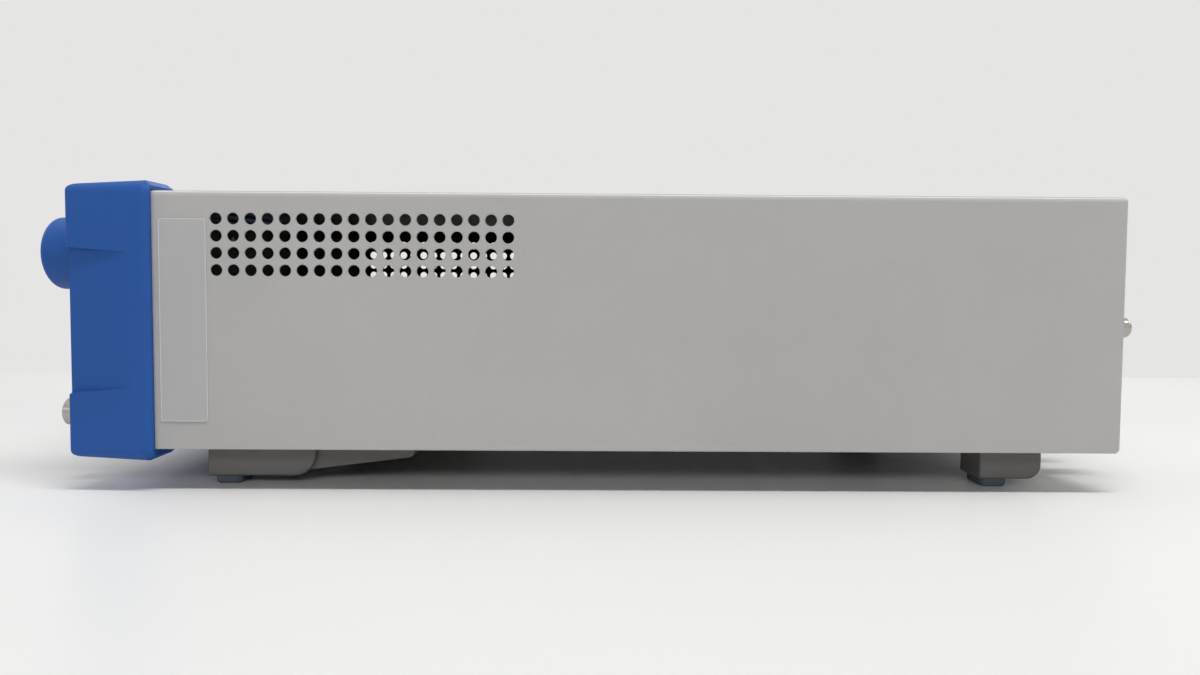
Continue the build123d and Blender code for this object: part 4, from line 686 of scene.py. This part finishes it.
def rear_print(ink):
    """Thin printed outlines round the sockets and jacks on the rear panel."""
    _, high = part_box("rear_panel")
    shapes = []
    for node in ("lan_socket", "usb_socket"):
        (x_low, _, z_low), (x_high, _, z_high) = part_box(node)
        left, right = -x_high - SOCKET_MARGIN, -x_low + SOCKET_MARGIN
        bottom, top = z_low - SOCKET_MARGIN_LOW, z_high + SOCKET_MARGIN
        shapes += frame_line(left, bottom, right, top, SOCKET_CORNER, REAR_LINE)
    for x, z in round_places("jack_shells", False):
        shapes += ring(-x, z, REAR_TICK, REAR_LINE)
    relief("rear_print", shapes, (0, high[1], 0), REAR_FACE, MARK_T, ink, ROOT)


CONTACT_T = 0.0003
CONTACT_END = 0.0028  # from a socket's mouth in to the contacts' ends
LAN_CONTACTS = 8
LAN_PITCH = 0.00102
LAN_CONTACT_HALF = 0.0002
LAN_FLOOR = 0.0041  # from the socket's middle down to the contacts' ends
# a contact's points, as depth from the mouth and height over its end
LAN_CONTACT_PATH = ((0.0115, 0.0032), (0.006, 0.0016), (0.0035, 0.0007), (CONTACT_END, 0.0))
USB_CONTACT_HALF = 0.0005
USB_CONTACT_X = 0.0012  # each side of the socket's middle
USB_CONTACT_HEIGHTS = (0.0016, -0.0019)  # over and under the tongue
USB_CONTACT_START = 0.0105


def wire(vertices, faces, u, half, path):
    """Adds a flat strip of metal along a path of (y, z) points, centred on x = u."""
    start = len(vertices)
    for y, z in path:
        for x in (u - half, u + half):
            vertices += [(x, y, z), (x, y, z + CONTACT_T)]
    end = start + 4 * (len(path) - 1)
    for a in range(start, end, 4):
        for quad in ((0, 2, 6, 4), (1, 5, 7, 3), (0, 4, 5, 1), (2, 3, 7, 6)):
            faces.append([a + corner for corner in quad])
    faces.append([start, start + 1, start + 3, start + 2])
    faces.append([end, end + 2, end + 3, end + 1])


def socket_contacts(gold):
    """Spring wires in the network socket and strips on the data socket's tongue."""
    vertices = []
    faces = []
    low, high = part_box("lan_socket")
    x, _, z = middle(low, high)
    path = [(high[1] - depth, z - LAN_FLOOR + rise) for depth, rise in LAN_CONTACT_PATH]
    for i in range(LAN_CONTACTS):
        wire(vertices, faces, x + (i - (LAN_CONTACTS - 1) / 2) * LAN_PITCH, LAN_CONTACT_HALF, path)
    low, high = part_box("usb_socket")
    x, _, z = middle(low, high)
    for u in (x - USB_CONTACT_X, x + USB_CONTACT_X):
        for height in USB_CONTACT_HEIGHTS:
            path = [(high[1] - depth, z + height) for depth in (USB_CONTACT_START, CONTACT_END)]
            wire(vertices, faces, u, USB_CONTACT_HALF, path)
    piece("socket_contacts", vertices, faces, gold, ROOT)


LEG_PITCH = 0.00127
LEG_L = 0.0011
LEG_HALF = 0.0002
LEG_H = 0.0006
LEG_MARGIN = 0.002  # length along a chip's side that holds no leg
LARGE_CHIP = 0.02  # a chip broader than this has legs on all four sides
DOT_R = 0.0004
DOT_INSET = 0.0014


def side_legs(low, high, across):
    """Outlines of the legs on the two sides of a chip that face along the axis across."""
    start, end = low[1 - across], high[1 - across]
    count = int((end - start - LEG_MARGIN) / LEG_PITCH)
    first = (start + end - (count - 1) * LEG_PITCH) / 2
    legs = []
    for edge, way in ((low[across], -1), (high[across], 1)):
        for i in range(count):
            along = first + i * LEG_PITCH
            a, b = sorted((edge, edge + way * LEG_L))
            c, d = along - LEG_HALF, along + LEG_HALF
            outline = [(a, c), (b, c), (b, d), (a, d)]
            legs.append([(q, p) for p, q in reversed(outline)] if across else outline)
    return legs


def chip_legs(metal, ink):
    """Legs along the chips' sides and a dot at each chip's first leg."""
    legs = []
    dots = []
    for low, high in islands("board_chips"):
        legs += side_legs(low, high, 0)
        if high[0] - low[0] > LARGE_CHIP:
            legs += side_legs(low, high, 1)
        dots += disc(low[0] + DOT_INSET, high[1] - DOT_INSET, DOT_R)
    low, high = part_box("board_chips")
    relief("chip_legs", legs, (0, 0, low[2]), TOP_FACE, LEG_H, metal, ROOT)
    relief("chip_dots", dots, (0, 0, high[2]), TOP_FACE, MARK_T, ink, ROOT)


SLEEVE_LIP = 0.0012  # sleeve that folds over a capacitor's top
SCORE = 0.0003  # how far the scored cross moves each quarter of the top outwards


def capacitor_tops(metal):
    """Aluminium tops on the capacitors, each in four quarters that a scored cross parts."""
    shapes = []
    for low, high in islands("supply_capacitors"):
        x, y, _ = middle(low, high)
        radius = (high[0] - low[0]) / 2 - SLEEVE_LIP - SCORE
        for start in range(0, 360, 90):
            lean = math.radians(start + 45)
            u, v = x + SCORE * math.cos(lean), y + SCORE * math.sin(lean)
            shapes.append([(u, v)] + arc(u, v, radius, start + 2, start + 88, 10))
    _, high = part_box("supply_capacitors")
    relief("capacitor_tops", shapes, (0, 0, high[2]), TOP_FACE, MARK_T * 2, metal, ROOT)


RIDGE_HALF = 0.004
RIDGE_W = 0.0005
RIDGE_H = 0.00025
RIDGE_PITCH = 0.0014
RIDGE_BEVEL = 0.0001


def drawer_grip(dark):
    """Three ridges across the fuse drawer's face."""
    node = "fuse_drawer"
    low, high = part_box(node)
    x, _, z = middle(low, high)
    heights = [z + i * RIDGE_PITCH for i in (-1, 0, 1)]
    shapes = [bar((-x - RIDGE_HALF, v), (-x + RIDGE_HALF, v), RIDGE_W) for v in heights]
    face = (0, high[1], 0)
    relief("drawer_grip", shapes, face, REAR_FACE, RIDGE_H, dark, node, RIDGE_BEVEL)


# the label's painted highlight round its edge, and the painted shadow under its lower end
HIGHLIGHT_INSET = 0.00018
HIGHLIGHT_LINE = 0.00026
HIGHLIGHT_CORNER = 0.001
SHADOW_LINE = 0.00035
SHADOW_CORNER = 0.0014


def label_painted_edge(light, dark):
    """A painted highlight round the label's edge, where its film edge would catch the light, and a painted
    shadow as a fine dark line under its lower end.
    """
    (x_low, left, bottom), (x_high, right, top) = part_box("side_label")
    # light carries the painted highlight and dark the painted shadow
    inset = HIGHLIGHT_INSET
    shapes = frame_line(left + inset, bottom + inset, right - inset, top - inset, HIGHLIGHT_CORNER, HIGHLIGHT_LINE)
    relief("label_painted_edge", shapes, (x_high, 0, 0), SIDE_FACE, MARK_T, light, ROOT)
    corner = SHADOW_CORNER
    path = arc(left + corner, bottom + corner, corner, 200, 270, 6)
    path += arc(right - corner, bottom + corner, corner, 270, 340, 6)
    shapes = strokes(path, SHADOW_LINE)
    relief("label_painted_shadow", shapes, (x_low, 0, 0), SIDE_FACE, MARK_T, dark, ROOT)


def details(materials):
    """Every mark and small fitting that the sub-parts carry."""
    white = printed("legend_white", grey(0.62), grey(0.7))
    dark = printed("legend_dark", grey(0.05), grey(0.075))
    unlit = printed("segment_unlit", (0.34, 0.31, 0.29), (0.4, 0.37, 0.35), 0.4)
    # a painted highlight and a painted shadow for the label's edge
    edge_highlight = printed("painted_edge_highlight", grey(0.62), grey(0.66), 0.35)
    edge_shadow = printed("painted_edge_shadow", grey(0.16), grey(0.2), 0.6)
    border = printed("window_ink", grey(0.01), grey(0.016), 0.35)
    digits(unlit)
    key_marks(white)
    power_mark(white)
    panel_print(dark)
    window_mask(border)
    rear_print(dark)
    socket_contacts(materials["contact_gold"])
    chip_legs(materials["tinned_can"], white)
    capacitor_tops(materials["tinned_can"])
    drawer_grip(materials["inlet_black"])
    # the label's painted edge highlight and painted shadow
    label_painted_edge(edge_highlight, edge_shadow)


# ---------------------------------------------------------------- room, light and camera
def plane(name, corners, material):
    """A flat face of the room."""
    mesh = bpy.data.meshes.new(name)
    mesh.from_pydata(corners, [], [tuple(range(len(corners)))])
    mesh.materials.append(material)
    thing = bpy.data.objects.new(name, mesh)
    bpy.context.collection.objects.link(thing)
    return thing


BACKDROP = (0.79, 0.785, 0.78)
FADE_START = 0.5  # distance from the middle at which the table starts to melt into the backdrop
FADE_END = 1.1
WORLD_GLOW = 0.1
TABLE_REACH = 3.0
TABLE_BEHIND = 0.165  # table beyond the counter's left side


def ray_is(tree, kinds=("Is Camera Ray",)):
    """1 for rays of these kinds and 0 for the rest."""
    path = tree.nodes.new("ShaderNodeLightPath").outputs
    seen = path[kinds[0]]
    for kind in kinds[1:]:
        either = tree.nodes.new("ShaderNodeMath")
        either.operation = "MAXIMUM"
        tree.links.new(seen, either.inputs[0])
        tree.links.new(path[kind], either.inputs[1])
        seen = either.outputs["Value"]
    return seen


def fade_out(paint):
    """The surface turns into the backdrop's tone with distance, as a cove does, for the camera alone."""
    tree = paint.tree
    length = tree.nodes.new("ShaderNodeVectorMath")
    length.operation = "LENGTH"
    paint.link(paint.coordinates, length.inputs[0])
    amount = tree.nodes.new("ShaderNodeMath")
    amount.operation = "MULTIPLY"
    paint.link(paint.ramp(length.outputs["Value"], 0.0, 1.0, FADE_START, FADE_END), amount.inputs[0])
    paint.link(ray_is(tree), amount.inputs[1])
    glow = tree.nodes.new("ShaderNodeEmission")
    glow.inputs["Color"].default_value = (*BACKDROP, 1.0)
    mix = tree.nodes.new("ShaderNodeMixShader")
    paint.link(amount.outputs["Value"], mix.inputs[0])
    paint.link(paint.shader.outputs[0], mix.inputs[1])
    paint.link(glow.outputs[0], mix.inputs[2])
    paint.link(mix.outputs[0], tree.nodes["Material Output"].inputs["Surface"])


def room():
    """A pale table that ends just past the counter's left side; beyond it there is only the backdrop."""
    table = Paint("table_top", 0.32)
    table.shader.inputs["Specular IOR Level"].default_value = 0.12
    table.colour((0.84, 0.84, 0.835), (0.87, 0.87, 0.86), 3, 1.0)
    table.sheen_spread(5, 0.31, 0.35)
    fade_out(table)
    far = TABLE_REACH
    edge = CAD_BOX[0][0] - TABLE_BEHIND
    plane("table", [(far, -far, 0), (far, far, 0), (edge, far, 0), (edge, -far, 0)], table.material)


def area_light(name, place, target, size, power):
    """A white rectangular light aimed at a target; the camera doesn't see it."""
    data = bpy.data.lights.new(name, "AREA")
    data.shape = "RECTANGLE"
    data.size, data.size_y = size
    data.energy = power
    light = bpy.data.objects.new(name, data)
    light.location = place
    aim = Vector(target) - Vector(place)
    light.rotation_euler = aim.to_track_quat("-Z", "Y").to_euler()
    light.visible_camera = False
    bpy.context.collection.objects.link(light)


def lights():
    """A long ceiling tube on the counter's right, with soft light from all round.

    Each light has its place, its target, its length and breadth, and its power in watts.
    """
    area_light("tube", (0.52, 0.45, 1.5), (0.15, 0.45, 0.0), (1.5, 0.12), 16)
    area_light("ceiling", (0.0, -0.2, 1.7), (0.0, -0.2, 0.0), (1.8, 1.8), 7.6)
    area_light("side_fill", (1.4, -0.1, 0.7), (0.0, -0.1, 0.05), (1.8, 0.3), 5.2)
    area_light("left_fill", (-1.4, -0.1, 1.0), (0.0, -0.1, 0.05), (1.8, 0.3), 6)
    area_light("front_fill", (-0.2, -1.5, 0.9), (0.0, 0.0, 0.05), (1.2, 0.5), 4)
    area_light("rear_fill", (0.0, 1.6, 1.0), (0.0, 0.0, 0.05), (1.2, 0.5), 4)


def surroundings():
    """A faint glow from all round, and the pale backdrop that the camera, metal and clear plastic see."""
    world = bpy.data.worlds.new("room_glow")
    world.use_nodes = True
    tree = world.node_tree
    glow = tree.nodes["Background"]
    glow.inputs["Color"].default_value = (*BACKDROP, 1.0)
    strength = tree.nodes.new("ShaderNodeMapRange")
    strength.inputs["To Min"].default_value = WORLD_GLOW
    strength.inputs["To Max"].default_value = 1.0
    kinds = ("Is Camera Ray", "Is Glossy Ray", "Is Transmission Ray")
    tree.links.new(ray_is(tree, kinds), strength.inputs["Value"])
    tree.links.new(strength.outputs["Result"], glow.inputs["Strength"])
    bpy.context.scene.world = world


SENSOR_W = 36.0
LENS = 25.68
SHIFT_Y = -0.0122
STAND_OFF = 0.2911  # camera to the cover's right side
AHEAD = 0.1826  # camera to the cover's rear edge
ABOVE = 0.0579  # camera over the cover's bottom edge
TURN = (87.274, -0.379, 89.474)


def camera():
    """The camera stands off the case's right side, a little above the case's middle height."""
    low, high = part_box("top_cover")
    data = bpy.data.cameras.new("camera")
    data.sensor_width = SENSOR_W
    data.lens = LENS
    data.shift_y = SHIFT_Y
    data.clip_start = 0.01
    view = bpy.data.objects.new("camera", data)
    view.location = (high[0] + STAND_OFF, high[1] - AHEAD, low[2] + ABOVE)
    view.rotation_euler = Euler([math.radians(angle) for angle in TURN])
    bpy.context.collection.objects.link(view)
    bpy.context.scene.camera = view


# ---------------------------------------------------------------- the scene
FINISHES = finishes()
paint_nodes(FINISHES)
details(FINISHES)
room()
lights()
surroundings()
camera()

scene = bpy.context.scene
scene.view_settings.view_transform = "Standard"
bpy.context.view_layer.update()
